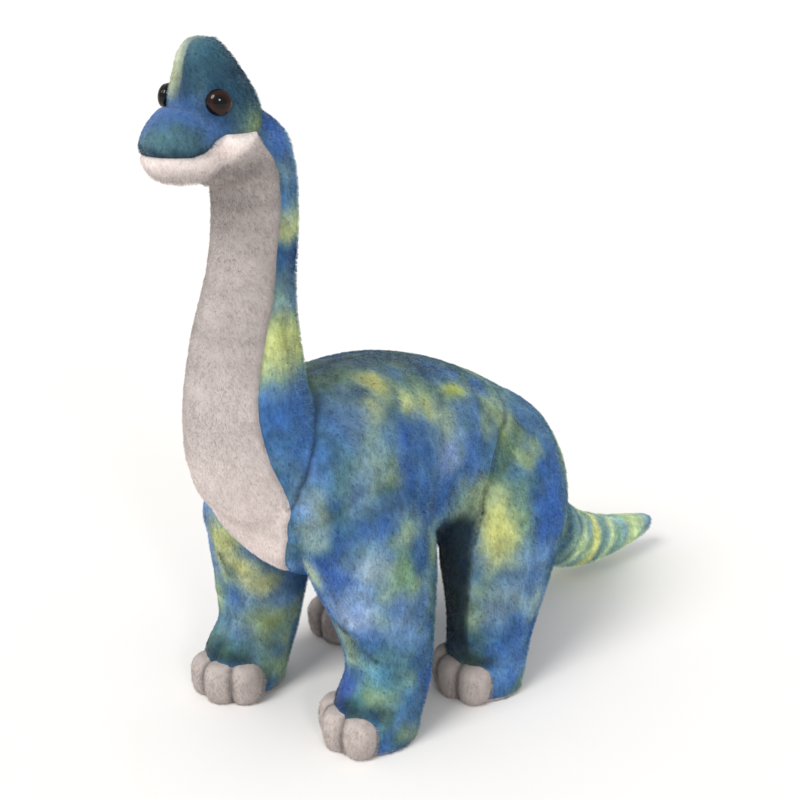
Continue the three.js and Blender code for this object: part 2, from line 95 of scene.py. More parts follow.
TORSO = ("y", [
    (-72, 0, 158, 0, 0), (-69, 0, 158, 22, 18), (-61, 0, 156, 38, 34), (-50, 0, 154, 46, 46),
    (-34, 0, 150, 50, 54), (-5, 0, 146.5, 53.5, 60), (30, 0, 144, 55, 61),
    (65, 0, 138, 57, 59), (98, 0, 128, 57, 55.5), (128, 0, 115, 53, 52),
    (152, 0, 103, 46, 46.5), (170, 0, 93, 34, 36), (181, 0, 86, 18, 20), (185, 0, 84, 0, 0),
])
TAIL = ("y", [
    (138, 0, 98, 0, 0), (146, 0, 94, 30, 32), (162, 1, 79, 33, 37), (180, 2, 61, 30.5, 34.5),
    (202, 4, 43, 25.5, 29), (228, 8, 29, 20, 22), (255, 13, 23, 15.5, 16),
    (280, 18, 21.5, 11, 11.5), (296, 21, 22.5, 6.8, 7), (302, 22, 23, 0, 0),
])
FORELEG = ("z", [
    (0, 42, -23, 24, 27), (14, 42, -21.5, 25, 29), (28, 43, -15.5, 24.5, 30),
    (42, 43, -9.5, 23.5, 27.5), (70, 42, -8.5, 25.5, 31.5), (100, 37, -8, 28.5, 41),
    (126, 34, -12.5, 28, 44), (150, 28, -13, 24, 39), (168, 20, -11, 12, 21),
    (175, 17, -10, 0, 0),
])
HINDLEG = ("z", [
    (0, 53, 71, 24, 23.5), (14, 53, 73, 24.5, 25), (38, 52, 79, 25, 30), (68, 49, 89, 28, 41),
    (100, 43, 99.5, 33, 49), (126, 36, 105, 30.5, 48), (148, 28, 105, 24, 40),
    (164, 20, 105, 12, 22), (170, 18, 105, 0, 0),
])
# Each leg: its outline, which side it is on, and how far its foot stands outwards and backwards
# of the outline, which fades out at LEAN_END.
LEAN_END = 150
LEGS = {
    "foreleg_left": (FORELEG, 1, (0, 12)),
    "foreleg_right": (FORELEG, -1, (11.5, 1)),
    "hindleg_left": (HINDLEG, 1, (0, 0)),
    "hindleg_right": (HINDLEG, -1, (0, 0)),
}

# ---- joints, as in the part ----
HEAD_JOINT = (0, -52, 326)
NECK_JOINT = (0, -58, 203)
TAIL_JOINT = (3, 190, 52)
LEG_JOINTS = {"foreleg": (37, -10, 100), "hindleg": (43, 98, 100)}


def span(joint, way, before, after):
    """Where a bend starts and ends, in metres, on a line through a joint."""
    joint, way = np.array(joint, float), np.array(way, float) / np.linalg.norm(way)
    return to_row(joint + way * before), to_row(joint + way * after)


HEAD_BEND = ("neck", "head", *span(HEAD_JOINT, (0, -0.469, 0.883), -16, 12))
NECK_BEND = ("torso", "neck", *span(NECK_JOINT, (0, -0.5, 0.866), -24, 26))
TAIL_BEND = ("torso", "tail", *span(TAIL_JOINT, (0, 1, 0), -22, 22))


def leg_bend(leg):
    kind, side = leg.split("_")
    x, y, z = LEG_JOINTS[kind]
    mirror = 1 if side == "left" else -1
    return ("torso", leg, *span((mirror * x, y, z), (mirror, 0, -1), 2, 45))


# ---- seams, drawn from the side as (y, z) unless a line says otherwise ----
HEADLINE = [(-120, 296), (-90, 317), (-72, 328), (-60, 337.5), (-46, 350), (-30, 362)]
JAWLINE = [(-140, 329), (-111, 329), (-100, 329), (-92, 331), (-80, 337.4), (-60, 337.2)]
BROW = [(-140, 362), (-95.6, 350.5), (-90, 348.2), (-85, 343.6), (-80, 337.4)]
SHOULDER = [
    (140, -68), (150, -62), (160, -60), (175, -52), (189, -41), (198, -31), (203, -26),
    (223, -6),
]
HIP = [
    (60, 50), (84, 56), (99, 57), (117, 65), (132, 72), (143, 75), (155, 85), (160, 98),
    (168, 112), (190, 135),
]
BIB_TURN = [
    (147, 63), (162, 64), (176, 60), (191, 58), (210, 58), (222, 62), (242, 70), (257, 79),
    (285, 83), (303, 88), (315, 87), (323, 84), (337, 64), (352, 50),
]
BIB_WIDTH = [
    (93, 0), (95, 3), (101.5, 7), (108, 13), (117, 20), (130, 28), (147, 33), (160, 34),
]
NECK_MIDDLE = [
    (97, -24), (107, -27), (121, -31), (135, -37), (148, -44), (160, -49), (175, -53.5),
    (199, -58), (222, -58), (246, -55.5), (268, -51.5), (290, -48.5), (316, -49), (346, -54),
]
BELLY_WIDTH = 20
BELLY_TOP = 104
NECK_PARTING = 265  # the neck's covers are in two lengths here, with no seam to be seen
LEG_PARTING = 38  # y of the middle between fore and hind legs
LEG_BACK = 138
THIGH_SEAM = (90, 4.5)  # in front of this y, the thigh's seam lies this much further out


def along(table, t):
    table = np.array(table, float)
    return np.interp(t, table[:, 0], table[:, 1])


def leg_reach(p, kind):
    """How far points lie from a leg's joint, outwards and down."""
    x, _, z = LEG_JOINTS[kind]
    return ((np.abs(p[:, 0]) - x) - (p[:, 2] - z)) * math.sqrt(0.5)


def leg_middle(p, kind):
    """How far outwards points lie from the seam down the front and back of a leg."""
    outline = FORELEG if kind == "foreleg" else HINDLEG
    rings = np.array(outline[1], float)[:3]
    splay = LEGS["foreleg_right"][2][0] * np.clip(1 - p[:, 2] / LEAN_END, 0, 1)
    splay *= (p[:, 0] < 0) & (kind == "foreleg")
    splay = splay + THIGH_SEAM[1] * (kind == "hindleg") * (p[:, 1] < THIGH_SEAM[0])
    return np.abs(p[:, 0]) - np.interp(p[:, 2], rings[:, 0], rings[:, 1]) - splay


def bib_field(p):
    x, y, z = p.T
    middle = along(NECK_MIDDLE, z)
    radius = np.hypot(x, y - middle)
    turn = np.degrees(np.arctan2(np.abs(x), middle - y))
    high = np.radians(along(BIB_TURN, z) - turn) * radius
    low = np.where(y < middle + 12, along(BIB_WIDTH, z) - np.abs(x), -20)
    mix = np.clip((z - 140) / 20, 0, 1)
    return high * mix + low * (1 - mix)


def tail_middle(p):
    rings = np.array(TAIL[1], float)
    return p[:, 0] - np.interp(p[:, 1], rings[:, 0], rings[:, 1])


FIELDS = {
    "head": lambda p: p[:, 2] - along(HEADLINE, p[:, 1]),
    "jaw": lambda p: along(JAWLINE, p[:, 1]) - p[:, 2],
    "snout": lambda p: np.minimum(along(BROW, p[:, 1]) - p[:, 2], -79 - p[:, 1]),
    "left": lambda p: p[:, 0],
    "bib": bib_field,
    "neck": lambda p: along(SHOULDER, p[:, 2]) - p[:, 1],
    "upper": lambda p: p[:, 2] - NECK_PARTING,
    "hip": lambda p: p[:, 1] - along(HIP, p[:, 2]),
    "belly": lambda p: np.minimum(BELLY_WIDTH - np.abs(p[:, 0]), BELLY_TOP - p[:, 2]),
    "behind": lambda p: p[:, 1] - LEG_PARTING,
    "rump": lambda p: p[:, 1] - LEG_BACK,
    "foreleg": lambda p: leg_reach(p, "foreleg"),
    "hindleg": lambda p: leg_reach(p, "hindleg"),
    "foreleg_out": lambda p: leg_middle(p, "foreleg"),
    "hindleg_out": lambda p: leg_middle(p, "hindleg"),
    "tail_left": tail_middle,
}


def sided(rule, p, names):
    left = FIELDS[rule](p) > 0
    return np.where(left, names + "_left", names + "_right")


def region_names(p):
    """The name of the panel that each point lies in."""
    f = {name: field(p) > 0 for name, field in FIELDS.items()}
    name = np.where(f["left"], "flank_left", "flank_right").astype("U20")
    hip = f["hip"]
    name[hip] = sided("left", p, "hip")[hip]
    tail = p[:, 1] > 160
    name[hip & tail] = sided("tail_left", p, "hip")[hip & tail]
    belly = f["belly"] & (p[:, 1] > -20) & (p[:, 1] < 120)
    name[belly] = "belly"
    for kind, zone in (("foreleg", ~f["behind"]), ("hindleg", f["behind"] & ~f["rump"])):
        leg = zone & f[kind] & (p[:, 2] < 140)
        outer = f[kind + "_out"]
        for side, on in (("left", f["left"]), ("right", ~f["left"])):
            name[leg & on & outer] = f"{kind}_{side}_out"
            name[leg & on & ~outer] = f"{kind}_{side}_in"
    high = p[:, 2] > 150
    neck = f["neck"] & high & (p[:, 1] < 0)
    name[neck] = np.where(f["upper"], sided("left", p, "nape"), sided("left", p, "shoulder"))[neck]
    bib = f["bib"] & (p[:, 1] < -10) & (p[:, 2] > 90) & (f["neck"] | ~high)
    name[bib] = np.where(f["upper"], "throat", "bib")[bib]
    head = f["head"] & (p[:, 2] > 300)
    name[head] = sided("left", p, "head")[head]
    name[head & f["snout"] & ~f["jaw"]] = "snout"
    name[head & f["jaw"] & (p[:, 1] < -60)] = "jaw"
    return name


# ---- meshes ----
def smooth_rings(rings, steps=6):
    """The rings with more between them, along a curve through them all; a point ends round."""
    r = np.array(rings, float)

    def beyond(end, inner):
        turned = inner.copy()
        turned[3:] *= -1
        return turned if end[3] == 0 else 2 * end - inner

    r = np.vstack([beyond(r[0], r[1]), r, beyond(r[-1], r[-2])])
    out = []
    for a, b, c, d in zip(r[:-3], r[1:-2], r[2:-1], r[3:]):
        k = [max(np.linalg.norm(q - p), 1e-6) ** 0.5 for p, q in ((a, b), (b, c), (c, d))]
        t0, t1, t2, t3 = 0, k[0], k[0] + k[1], sum(k)
        for i in range(steps):
            t = t1 + (t2 - t1) * i / steps
            a1 = (t1 - t) / (t1 - t0) * a + (t - t0) / (t1 - t0) * b
            a2 = (t2 - t) / (t2 - t1) * b + (t - t1) / (t2 - t1) * c
            a3 = (t3 - t) / (t3 - t2) * c + (t - t2) / (t3 - t2) * d
            b1 = (t2 - t) / (t2 - t0) * a1 + (t - t0) / (t2 - t0) * a2
            b2 = (t3 - t) / (t3 - t1) * a2 + (t - t1) / (t3 - t1) * a3
            out.append((t2 - t) / (t2 - t1) * b1 + (t - t1) / (t2 - t1) * b2)
    out.append(r[-2])
    out = np.array(out)
    out[:, 3:] = np.maximum(out[:, 3:], 0)
    return out


def loft(outline, inset=0.0, mirror=1, lean=(0, 0), sides=48):
    """Corners and faces of the closed surface through an outline's rings, in mm."""
    axis, rings = outline
    rings = smooth_rings(rings)
    first, last = rings[0, 0], rings[-1, 0]
    verts = []
    for at, p, q, a, b in rings:
        at = min(max(at, min(first, last) + inset), max(first, last) - inset)
        share = max(0, 1 - at / LEAN_END)
        p, q = p + lean[0] * share, q + lean[1] * share
        a, b = max(a - inset, 0.02), max(b - inset, 0.02)
        turn = circle(sides)
        u, v = p + a * np.sin(turn), q + b * np.cos(turn)
        level = np.full(sides, at)
        verts.append(np.stack([u, v, level] if axis == "z" else [u, level, v], 1))
    return np.vstack(verts) * (mirror, 1, 1), ring_faces(len(rings), sides)


def ring_faces(count, sides, first=True, last=True):
    """Faces of a tube through rings of corners, with or without its first and last end."""
    found = []
    for row in range(count - 1):
        for side in range(sides):
            a, b = row * sides + side, row * sides + (side + 1) % sides
            found.append((a, b, b + sides, a + sides))
    if first:
        found.append(tuple(range(sides))[::-1])
    if last:
        found.append(tuple(range((count - 1) * sides, count * sides)))
    return found


def circle(sides):
    return np.arange(sides) / sides * 2 * math.pi


def add_object(name, data):
    obj = bpy.data.objects.new(name, data)
    bpy.context.scene.collection.objects.link(obj)
    return obj


def mesh_object(name, verts, faces):
    mesh = bpy.data.meshes.new(name)
    mesh.from_pydata([tuple(v) for v in verts], [], [tuple(int(i) for i in f) for f in faces])
    return add_object(name, mesh)


def join_lofts(name, lofts):
    verts, faces, start = [], [], 0
    for points, polygons in lofts:
        verts.append(to_row(points))
        faces += [tuple(i + start for i in face) for face in polygons]
        start += len(points)
    obj = mesh_object(name, np.vstack(verts), faces)
    bm = bmesh.new()
    bm.from_mesh(obj.data)
    bmesh.ops.recalc_face_normals(bm, faces=bm.faces)
    bm.to_mesh(obj.data)
    bm.free()
    return obj


def apply_modifiers(obj):
    bpy.context.view_layer.update()
    done = obj.evaluated_get(bpy.context.evaluated_depsgraph_get())
    mesh = bpy.data.meshes.new_from_object(done)
    obj.modifiers.clear()
    obj.data = mesh
    return obj


def remesh(obj, size):
    m = obj.modifiers.new("remesh", "REMESH")
    m.mode, m.voxel_size, m.use_smooth_shade = "VOXEL", size, True
    return apply_modifiers(obj)


def smooth(obj, repeats, factor=0.5):
    m = obj.modifiers.new("smooth", "SMOOTH")
    m.iterations, m.factor = repeats, factor
    return apply_modifiers(obj)


def corners(obj):
    co = np.empty(len(obj.data.vertices) * 3)
    obj.data.vertices.foreach_get("co", co)
    return co.reshape(-1, 3)


def set_corners(obj, co):
    obj.data.vertices.foreach_set("co", np.asarray(co, float).ravel())
    obj.data.update()


def normals_of(obj):
    out = np.empty(len(obj.data.vertices) * 3)
    obj.data.vertices.foreach_get("normal", out)
    return out.reshape(-1, 3)


def quads_of(obj):
    """Faces as rows of four corners; a triangle repeats its last corner."""
    rows = [tuple(p.vertices) for p in obj.data.polygons]
    return np.array([row if len(row) == 4 else row + row[-1:] for row in rows])


def tree_of(points):
    tree = KDTree(len(points))
    for i, point in enumerate(points):
        tree.insert(point, i)
    tree.balance()
    return tree


def distance_to(points, targets):
    tree = tree_of(targets)
    return np.array([tree.find(p)[2] for p in points])


def whole_body(inset):
    lofts = [loft(o, inset) for o in (SKULL, SNOUT, NECK, TORSO, TAIL)]
    return lofts + [loft(o, inset, mirror, lean) for o, mirror, lean in LEGS.values()]


def simulated_swell(obj):
    """How far pressure moves each corner of obj, from a cloth copy of it that is filled."""
    copy = join_lofts("filled", whole_body(PILE + SWELL))
    remesh(copy, CLOTH_VOXEL)
    smooth(copy, 3)
    before = corners(copy)
    cloth = copy.modifiers.new("filling", "CLOTH").settings
    cloth.use_pressure = True
    cloth.uniform_pressure_force = CLOTH_PRESSURE
    cloth.effector_weights.gravity = 0
    cloth.shrink_min = -0.03
    cloth.quality = 6
    scene = bpy.context.scene
    for step in range(1, CLOTH_FRAMES + 1):
        scene.frame_set(step)
    apply_modifiers(copy)
    scene.frame_set(1)
    moved = corners(copy) - before
    length = np.linalg.norm(moved, axis=1, keepdims=True)
    moved *= np.minimum(1, CLOTH_CAP * MM / np.maximum(length, 1e-9))
    tree = tree_of(before)
    co = corners(obj)
    shift = np.zeros_like(co)
    for i, point in enumerate(co):
        near = tree.find_n(point, 4)
        weights = np.array([1 / (d + 1e-5) for _, _, d in near])
        shift[i] = sum(w * moved[j] for w, (_, j, _) in zip(weights, near)) / weights.sum()
    bpy.data.objects.remove(copy)
    return shift


def noise_at(p, size, seed):
    """Smooth noise vectors at points in mm."""
    offset = Vector((seed * 17.3, seed * -9.1, seed * 5.7))
    return np.array([noise.noise_vector(Vector(q) / size + offset) for q in p])


# ---- the stuffed skin, in one ----
HEAD_KINDS = {"head", "jaw", "snout"}
PLAIN_SEAM = 1.0  # depth of a seam that isn't listed
NO_SEAM = 0.0  # covers that are one piece of plush
SEAM_DEPTHS = {
    NO_SEAM: ["nape shoulder", "bib throat", "flank foreleg", "flank hindleg", "shoulder foreleg",
              "hip hindleg", "hip foreleg", "belly foreleg", "belly hindleg", "foreleg hindleg"],
    2.6: ["flank hip"],
    2.2: ["shoulder flank"],
    0.8: ["jaw throat"],
    1.4: ["jaw nape"],
    1.5: ["snout jaw"],
    1.3: ["snout head"],
}
SEAM_DEPTH = {frozenset(pair.split()): d for d, pairs in SEAM_DEPTHS.items() for pair in pairs}
SEAM_REACH = 1.7  # half-width of the groove
SHORT_PILE_REACH = 1.3  # half-width of the strip where the pile is caught in the seam


def kind_of(region):
    return region.split("_")[0]


def seam_rules(a, b):
    """The fields that the edge between two regions may follow."""
    kinds = {kind_of(a), kind_of(b)}
    legs = sorted(kinds & {"foreleg", "hindleg"})
    if len(kinds & HEAD_KINDS) == 1 and len(kinds) == 2:
        return ["head"]
    if "jaw" in kinds:
        return ["jaw"]
    if "snout" in kinds:
        return ["snout"]
    if len(legs) == 2:
        return ["behind"]
    if legs and len(kinds) == 1:
        return [legs[0] + "_out", "left"]
    if legs:
        return [legs[0], "behind", "rump", "belly"]
    if len(kinds) == 1:
        return ["left", "tail_left"]
    if kinds in ({"throat", "bib"}, {"nape", "shoulder"}):
        return ["upper"]
    if kinds & {"throat", "bib"}:
        return ["bib"]
    if "belly" in kinds:
        return ["belly"]
    return ["hip"] if "hip" in kinds else ["neck"]


def field_slope(field, p, step=0.3):
    slope = np.zeros_like(p)
    for axis in range(3):
        shift = np.zeros(3)
        shift[axis] = step
        slope[:, axis] = (field(p + shift) - field(p - shift)) / (2 * step)
    return slope


LEAST_SLOPE = 0.05
LONGEST_STEP = 1.2


def settle_on_seams(p, normals, rules_at):
    """Moves the corners between two panels along the skin onto the seam's own line."""
    names = sorted(FIELDS)
    for _ in range(2):
        values = {name: FIELDS[name](p) for name in names}
        chosen = {}
        for i, rules in rules_at.items():
            chosen[i] = min(rules, key=lambda rule: abs(values[rule][i]))
        for name in names:
            rows = np.array([i for i, rule in chosen.items() if rule == name])
            if not len(rows):
                continue
            slope = field_slope(FIELDS[name], p[rows])
            n = normals[rows]
            slope -= n * (slope * n).sum(1, keepdims=True)
            size = np.maximum((slope**2).sum(1), LEAST_SLOPE)
            step = -values[name][rows][:, None] * slope / size[:, None]
            far = np.linalg.norm(step, axis=1, keepdims=True)
            p[rows] += step * np.minimum(1, LONGEST_STEP / np.maximum(far, 1e-9))
    return p


# The hip's cover stands over the flank's at their seam: sideways of HIP_STEP_X, and fading out
# within the heights of HIP_STEP_Z.
HIP_STEP_X, HIP_STEP_Z, HIP_STEP_REACH = 18, (84, 172), 14


def hip_step(p):
    """How far the skin moves out at the seam in front of the hip."""
    hip, z = FIELDS["hip"](p), p[:, 2]
    low, high = HIP_STEP_Z
    near = (np.abs(hip) < HIP_STEP_REACH) & (z > low) & (z < high) & (np.abs(p[:, 0]) > HIP_STEP_X)
    behind, before = -1.5 * np.exp(-((hip / 6) ** 2)), 1.1 * np.exp(-(((hip + 3) / 5) ** 2))
    fade = np.clip((high - z) / 16, 0, 1) * np.clip((z - low) / 10, 0, 1)
    return np.where(hip > 0, behind, before) * near * fade


body = join_lofts("body", whole_body(PILE + SWELL))
remesh(body, FINE_VOXEL)
smooth(body, 6)
filled = normals_of(body) * SWELL * MM
filled = (1 - SIMULATED) * filled + SIMULATED * simulated_swell(body)
set_corners(body, corners(body) + filled)
faces = quads_of(body)
skin = from_row(corners(body))
normals = normals_of(body)
regions = region_names(skin[faces].mean(axis=1))

touching = {}
for face, region in zip(faces, regions):
    for i in face:
        touching.setdefault(int(i), set()).add(str(region))
rules_at = {i: seam_rules(*sorted(t)[:2]) for i, t in touching.items() if len(t) > 1}
skin = settle_on_seams(skin, normals, rules_at)

seam_depths = {}
for i, t in touching.items():
    if len(t) > 1:
        pairs = [frozenset((kind_of(a), kind_of(b))) for a in t for b in t if a != b]
        depth = max(SEAM_DEPTH.get(pair, PLAIN_SEAM) for pair in pairs)
        seam_depths.setdefault(depth, []).append(i)
seam_depths.pop(NO_SEAM, None)
sunk = np.zeros(len(skin))
near_seam = np.zeros(len(skin))
for depth, rows in seam_depths.items():
    d = distance_to(skin, skin[rows])
    sunk = np.maximum(sunk, depth * np.exp(-((d / SEAM_REACH) ** 2)))
    near_seam = np.maximum(near_seam, np.exp(-((d / SHORT_PILE_REACH) ** 2)))
lumps = noise_at(skin, 22, 3)[:, 0] * 0.6 + noise_at(skin, 7, 4)[:, 0] * 0.25
skin += normals * (lumps - sunk + hip_step(skin))[:, None]
set_corners(body, to_row(skin))
normals = normals_of(body)

# ---- dye, with painted light and shade ----
ROYAL, NAVY, SKY, GROUND = (52, 96, 168), (30, 66, 118), (118, 158, 202), (60, 104, 154)
# The last of these is darker dye deepened by painted shadow, for the hind legs' inner side.
TEAL, PINE, SAGE, THIGH_DYE_AND_SHADE = (62, 108, 126), (72, 108, 92), (150, 172, 132), (20, 34, 44)
# Each patch of dye: its middle, its reach along each axis, its colour and its strength. They are
# placed where the photograph shows them: on the toy's left, and the FAR ones on its right.
FLANK_DYE = [
    ((20, -14, 196), (14, 20, 9), (96, 122, 92), 0.8),
    ((32, 26, 188), (12, 22, 9), (94, 126, 118), 0.75),
    ((38, 56, 176), (8, 16, 12), (86, 120, 126), 0.7),
    ((40, 6, 182), (7, 10, 8), (82, 118, 120), 0.6),
    ((0, 10, 204), (14, 40, 10), (58, 86, 108), 0.85),
    ((6, 50, 202), (16, 26, 9), (54, 82, 98), 0.85),
    ((4, 82, 190), (16, 22, 9), (66, 102, 108), 0.8),
    ((30, 34, 190), (8, 14, 8), (112, 142, 100), 0.6),
    ((18, -15, 198), (14, 22, 10), (95, 125, 90), 0.8),
    ((24, 8, 197), (8, 8, 8), (196, 194, 108), 0.9),
    ((34, -4, 187), (7, 9, 8), (186, 194, 126), 0.85),
    ((38, 20, 186), (6, 5, 8), (195, 200, 120), 0.75),
    ((41, 33, 180), (7, 8, 12), (180, 190, 120), 0.75),
    ((35, 61, 182), (6, 12, 5), (190, 200, 80), 0.85),
    ((22, 46, 194), (8, 14, 5), (40, 75, 110), 0.8),
    ((26, -18, 190), (10, 14, 18), (70, 100, 145), 0.7),
    ((27, -3, 195), (6, 5, 3), (28, 62, 112), 0.7),
    ((47, 8, 160), (10, 9, 25), (35, 80, 165), 0.85),
    ((50, 16, 155), (6, 5, 25), (75, 120, 150), 0.6),
    ((42, -37, 165), (8, 8, 16), (75, 115, 95), 0.8),
    ((46, -22, 164), (8, 10, 9), (140, 170, 165), 0.7),
    ((45, -38, 142), (6, 5, 6), (30, 75, 80), 0.85),
    ((47, -28, 148), (7, 10, 9), (150, 180, 185), 0.6),
    ((40, -22, 184), (10, 12, 9), (72, 104, 150), 0.7),
    ((44, -8, 172), (8, 8, 8), (96, 132, 150), 0.6),
    ((48, -6, 142), (8, 12, 8), (54, 92, 140), 0.75),
    ((50, 18, 168), (8, 8, 10), (44, 84, 144), 0.7),
    ((44, -40, 178), (8, 10, 12), (70, 112, 128), 0.7),
    ((51, 30, 158), (4, 4, 18), (86, 130, 158), 0.7),
    ((52, 30, 135), (8, 16, 18), (36, 84, 160), 0.9),
    ((51, 40, 155), (8, 10, 10), (125, 150, 200), 0.8),
    ((46, 42, 172), (7, 8, 10), (165, 180, 130), 0.6),
    ((52, 24, 130), (5, 4, 16), (110, 150, 190), 0.6),
    ((50, -25, 135), (8, 22, 7), (40, 80, 140), 0.7),
    ((38, -52, 155), (6, 9, 22), (120, 150, 195), 0.7),
    ((42, -44, 118), (6, 7, 10), (30, 70, 155), 0.85),
]
FORELEG_DYE = [
    ((56, -30, 112), (10, 14, 11), (150, 178, 192), 0.95),
    ((61, -10, 104), (7, 8, 11), (112, 158, 118), 0.85),
    ((46, -40, 104), (6, 8, 14), (38, 78, 158), 0.85),
    ((54, -32, 84), (12, 14, 8), (140, 174, 212), 0.85),
    ((49, -35, 88), (12, 10, 10), (150, 174, 214), 0.85),
    ((62, -14, 76), (7, 8, 7), (140, 168, 210), 0.8),
    ((56, -26, 74), (6, 8, 4), (72, 112, 190), 0.6),
    ((62, 2, 84), (7, 7, 8), (52, 98, 176), 0.7),
    ((62, 5, 105), (6, 6, 14), (45, 95, 165), 0.6),
    ((52, -34, 96), (8, 10, 8), (124, 160, 204), 0.8),
    ((62, -16, 88), (6, 7, 8), (62, 108, 186), 0.7),
    ((63, -8, 68), (8, 12, 10), (96, 140, 198), 0.8),
    ((60, -22, 82), (5, 5, 5), (130, 165, 150), 0.5),
    ((36, -22, 32), (8, 12, 9), (28, 58, 150), 0.9),
    ((30, -24, 60), (6, 12, 28), (44, 84, 170), 0.6),
    ((44, -34, 58), (7, 6, 8), (96, 130, 106), 0.8),
    ((60, -22, 45), (12, 16, 20), (65, 120, 145), 0.8),
    ((57, -27, 32), (8, 9, 5), (116, 140, 92), 0.7),
    ((55, -30, 20), (6, 6, 6), (40, 90, 150), 0.7),
    ((48, -34, 33), (5, 5, 6), (35, 85, 85), 0.8),
    ((34, -45, 110), (5, 6, 10), (185, 195, 140), 0.7),
]
NECK_DYE = [
    ((20, -45, 331), (14, 20, 11), (46, 92, 176), 0.9),
    ((14, -30, 322), (9, 11, 14), (128, 172, 172), 0.75),
    ((12, -30, 344), (10, 9, 6), (150, 180, 206), 0.8),
    ((12, -26, 302), (8, 8, 10), (140, 168, 120), 0.7),
    ((20, -45, 313), (14, 20, 4), (120, 165, 200), 0.6),
    ((20, -45, 306), (14, 20, 6), (60, 110, 165), 0.7),
    ((20, -45, 290), (14, 20, 8), (190, 200, 140), 0.95),
    ((20, -45, 275), (14, 20, 7), (35, 75, 125), 0.9),
    ((20, -45, 262), (14, 20, 7), (75, 115, 150), 0.7),
    ((22, -48, 251), (14, 20, 5), (85, 130, 175), 0.7),
    ((25, -55, 232), (14, 22, 15), (192, 200, 120), 0.95),
    ((30, -45, 212), (14, 25, 5), (130, 160, 170), 0.6),
    ((30, -55, 190), (16, 26, 24), (46, 96, 170), 0.85),
    ((30, -58, 200), (12, 18, 7), (50, 100, 170), 0.6),
]
HIND_DYE = [
    ((49, 88, 150), (5, 5, 6), (150, 170, 90), 0.7),
    ((54, 82, 142), (7, 8, 10), (80, 115, 90), 0.7),
    ((55, 100, 138), (6, 8, 8), (150, 170, 100), 0.7),
    ((66, 118, 112), (10, 14, 22), (45, 95, 170), 0.85),
    ((60, 92, 125), (7, 8, 8), (80, 130, 150), 0.6),
    ((64, 71, 98), (13, 13, 23), (186, 188, 104), 0.95),
    ((69, 85, 102), (6, 8, 20), (120, 160, 120), 0.6),
    ((72, 108, 100), (8, 12, 16), (40, 90, 175), 0.8),
    ((73, 90, 84), (8, 16, 7), (110, 155, 200), 0.7),
    ((69, 70, 74), (8, 12, 5), (45, 85, 130), 0.7),
    ((74, 92, 55), (8, 12, 8), (165, 195, 195), 0.85),
    ((68, 74, 66), (8, 12, 10), (124, 158, 184), 0.8),
    ((66, 64, 56), (8, 10, 10), (95, 120, 160), 0.7),
    ((73, 72, 42), (8, 14, 12), (45, 90, 160), 0.8),
    ((70, 66, 18), (8, 14, 12), (75, 125, 185), 0.8),
    ((58, 54, 28), (8, 6, 8), (45, 75, 95), 0.7),
    ((20, 120, 165), (20, 16, 12), (80, 122, 130), 0.8),
    ((40, 128, 140), (12, 12, 16), (70, 115, 140), 0.7),
]
HEAD_DYE = [
    ((10, -72, 362), (26, 22, 20), (24, 56, 80), 0.97),
    ((4, -92, 362), (7, 10, 16), (26, 54, 76), 0.85),
    ((8, -80, 374), (8, 8, 8), (44, 92, 112), 0.6),
    ((8, -52, 358), (12, 8, 16), (58, 104, 112), 0.85),
    ((22, -62, 342), (10, 13, 7), (124, 150, 100), 0.9),
    ((24, -72, 352), (6, 8, 8), (50, 92, 96), 0.6),
    ((19, -84, 342), (5, 6, 5), (40, 78, 76), 0.7),
]
FAR_HEAD_DYE = [
    ((-10, -92, 366), (11, 14, 14), (182, 190, 142), 0.95),
    ((-12, -80, 376), (12, 16, 9), (205, 212, 190), 0.85),
    ((-20, -84, 350), (8, 10, 8), (62, 108, 120), 0.7),
]
SNOUT_DYE = [
    ((0, -100, 345), (30, 22, 9), (44, 80, 146), 0.95),
    ((4, -106, 335), (30, 22, 6.5), (56, 92, 102), 0.95),
    ((10, -108, 331), (30, 22, 2.5), (26, 50, 66), 0.8),
    ((20, -86, 339), (7, 7, 7), (56, 98, 170), 0.8),
    ((-14, -106, 343), (8, 8, 6), (52, 96, 184), 0.6),
]
FAR_LEG_DYE = [
    ((-42, -52, 128), (10, 12, 16), (88, 124, 180), 0.9),
    ((-52, -40, 98), (7, 14, 22), (86, 124, 178), 0.85),
    ((-36, -50, 106), (10, 12, 14), (178, 182, 112), 0.95),
    ((-34, -40, 88), (12, 14, 11), (190, 190, 118), 0.95),
    ((-27, -30, 74), (11, 12, 9), (186, 188, 122), 0.9),
    ((-40, -40, 84), (3, 6, 12), (84, 118, 110), 0.6),
    ((-33, -34, 58), (16, 14, 8), (92, 124, 150), 0.85),
    ((-43, -38, 62), (5, 7, 8), (50, 92, 165), 0.8),
    ((-60, -38, 60), (6, 10, 10), (176, 188, 120), 0.8),
    ((-30, -28, 44), (12, 14, 11), (134, 152, 88), 0.85),
    ((-46, -36, 44), (10, 12, 8), (92, 124, 148), 0.6),
    ((-50, -42, 31), (26, 14, 6), (48, 84, 82), 0.9),
    ((-34, -30, 18), (8, 14, 8), (80, 110, 96), 0.7),
]
# Bands round the tail: distance along it, half-width and colour.
TAIL_BANDS = [
    (182, 5, (58, 98, 112)), (192, 6, (130, 164, 150)), (201, 2.6, (60, 100, 106)),
    (209, 7, (176, 196, 150)), (220, 2.2, (110, 146, 124)), (229, 7, (216, 216, 122)),
    (240, 3, (88, 124, 118)), (250, 7, (186, 202, 148)), (261, 2.6, (104, 146, 132)),
    (280, 16, (180, 198, 138)),
]
GREIGE = np.array((202, 190, 186))
# Painted light and shade on the plain plush at each height; the jaw is painted lighter still by the
# factor below.
GREIGE_LIGHT_BY_HEIGHT = [
    (0, 0.86), (40, 0.86), (100, 1.18), (135, 1.1), (190, 0.92), (245, 0.83), (320, 0.82), (335, 1),
]
JAW_LIGHT = 1.3
# Shaded bands across the throat: height, half-width and how much darker.
THROAT_BANDS = [(319, 4, 0.1), (302, 3, 0.09), (291, 3, 0.05), (262, 5, 0.05), (238, 3, 0.05)]
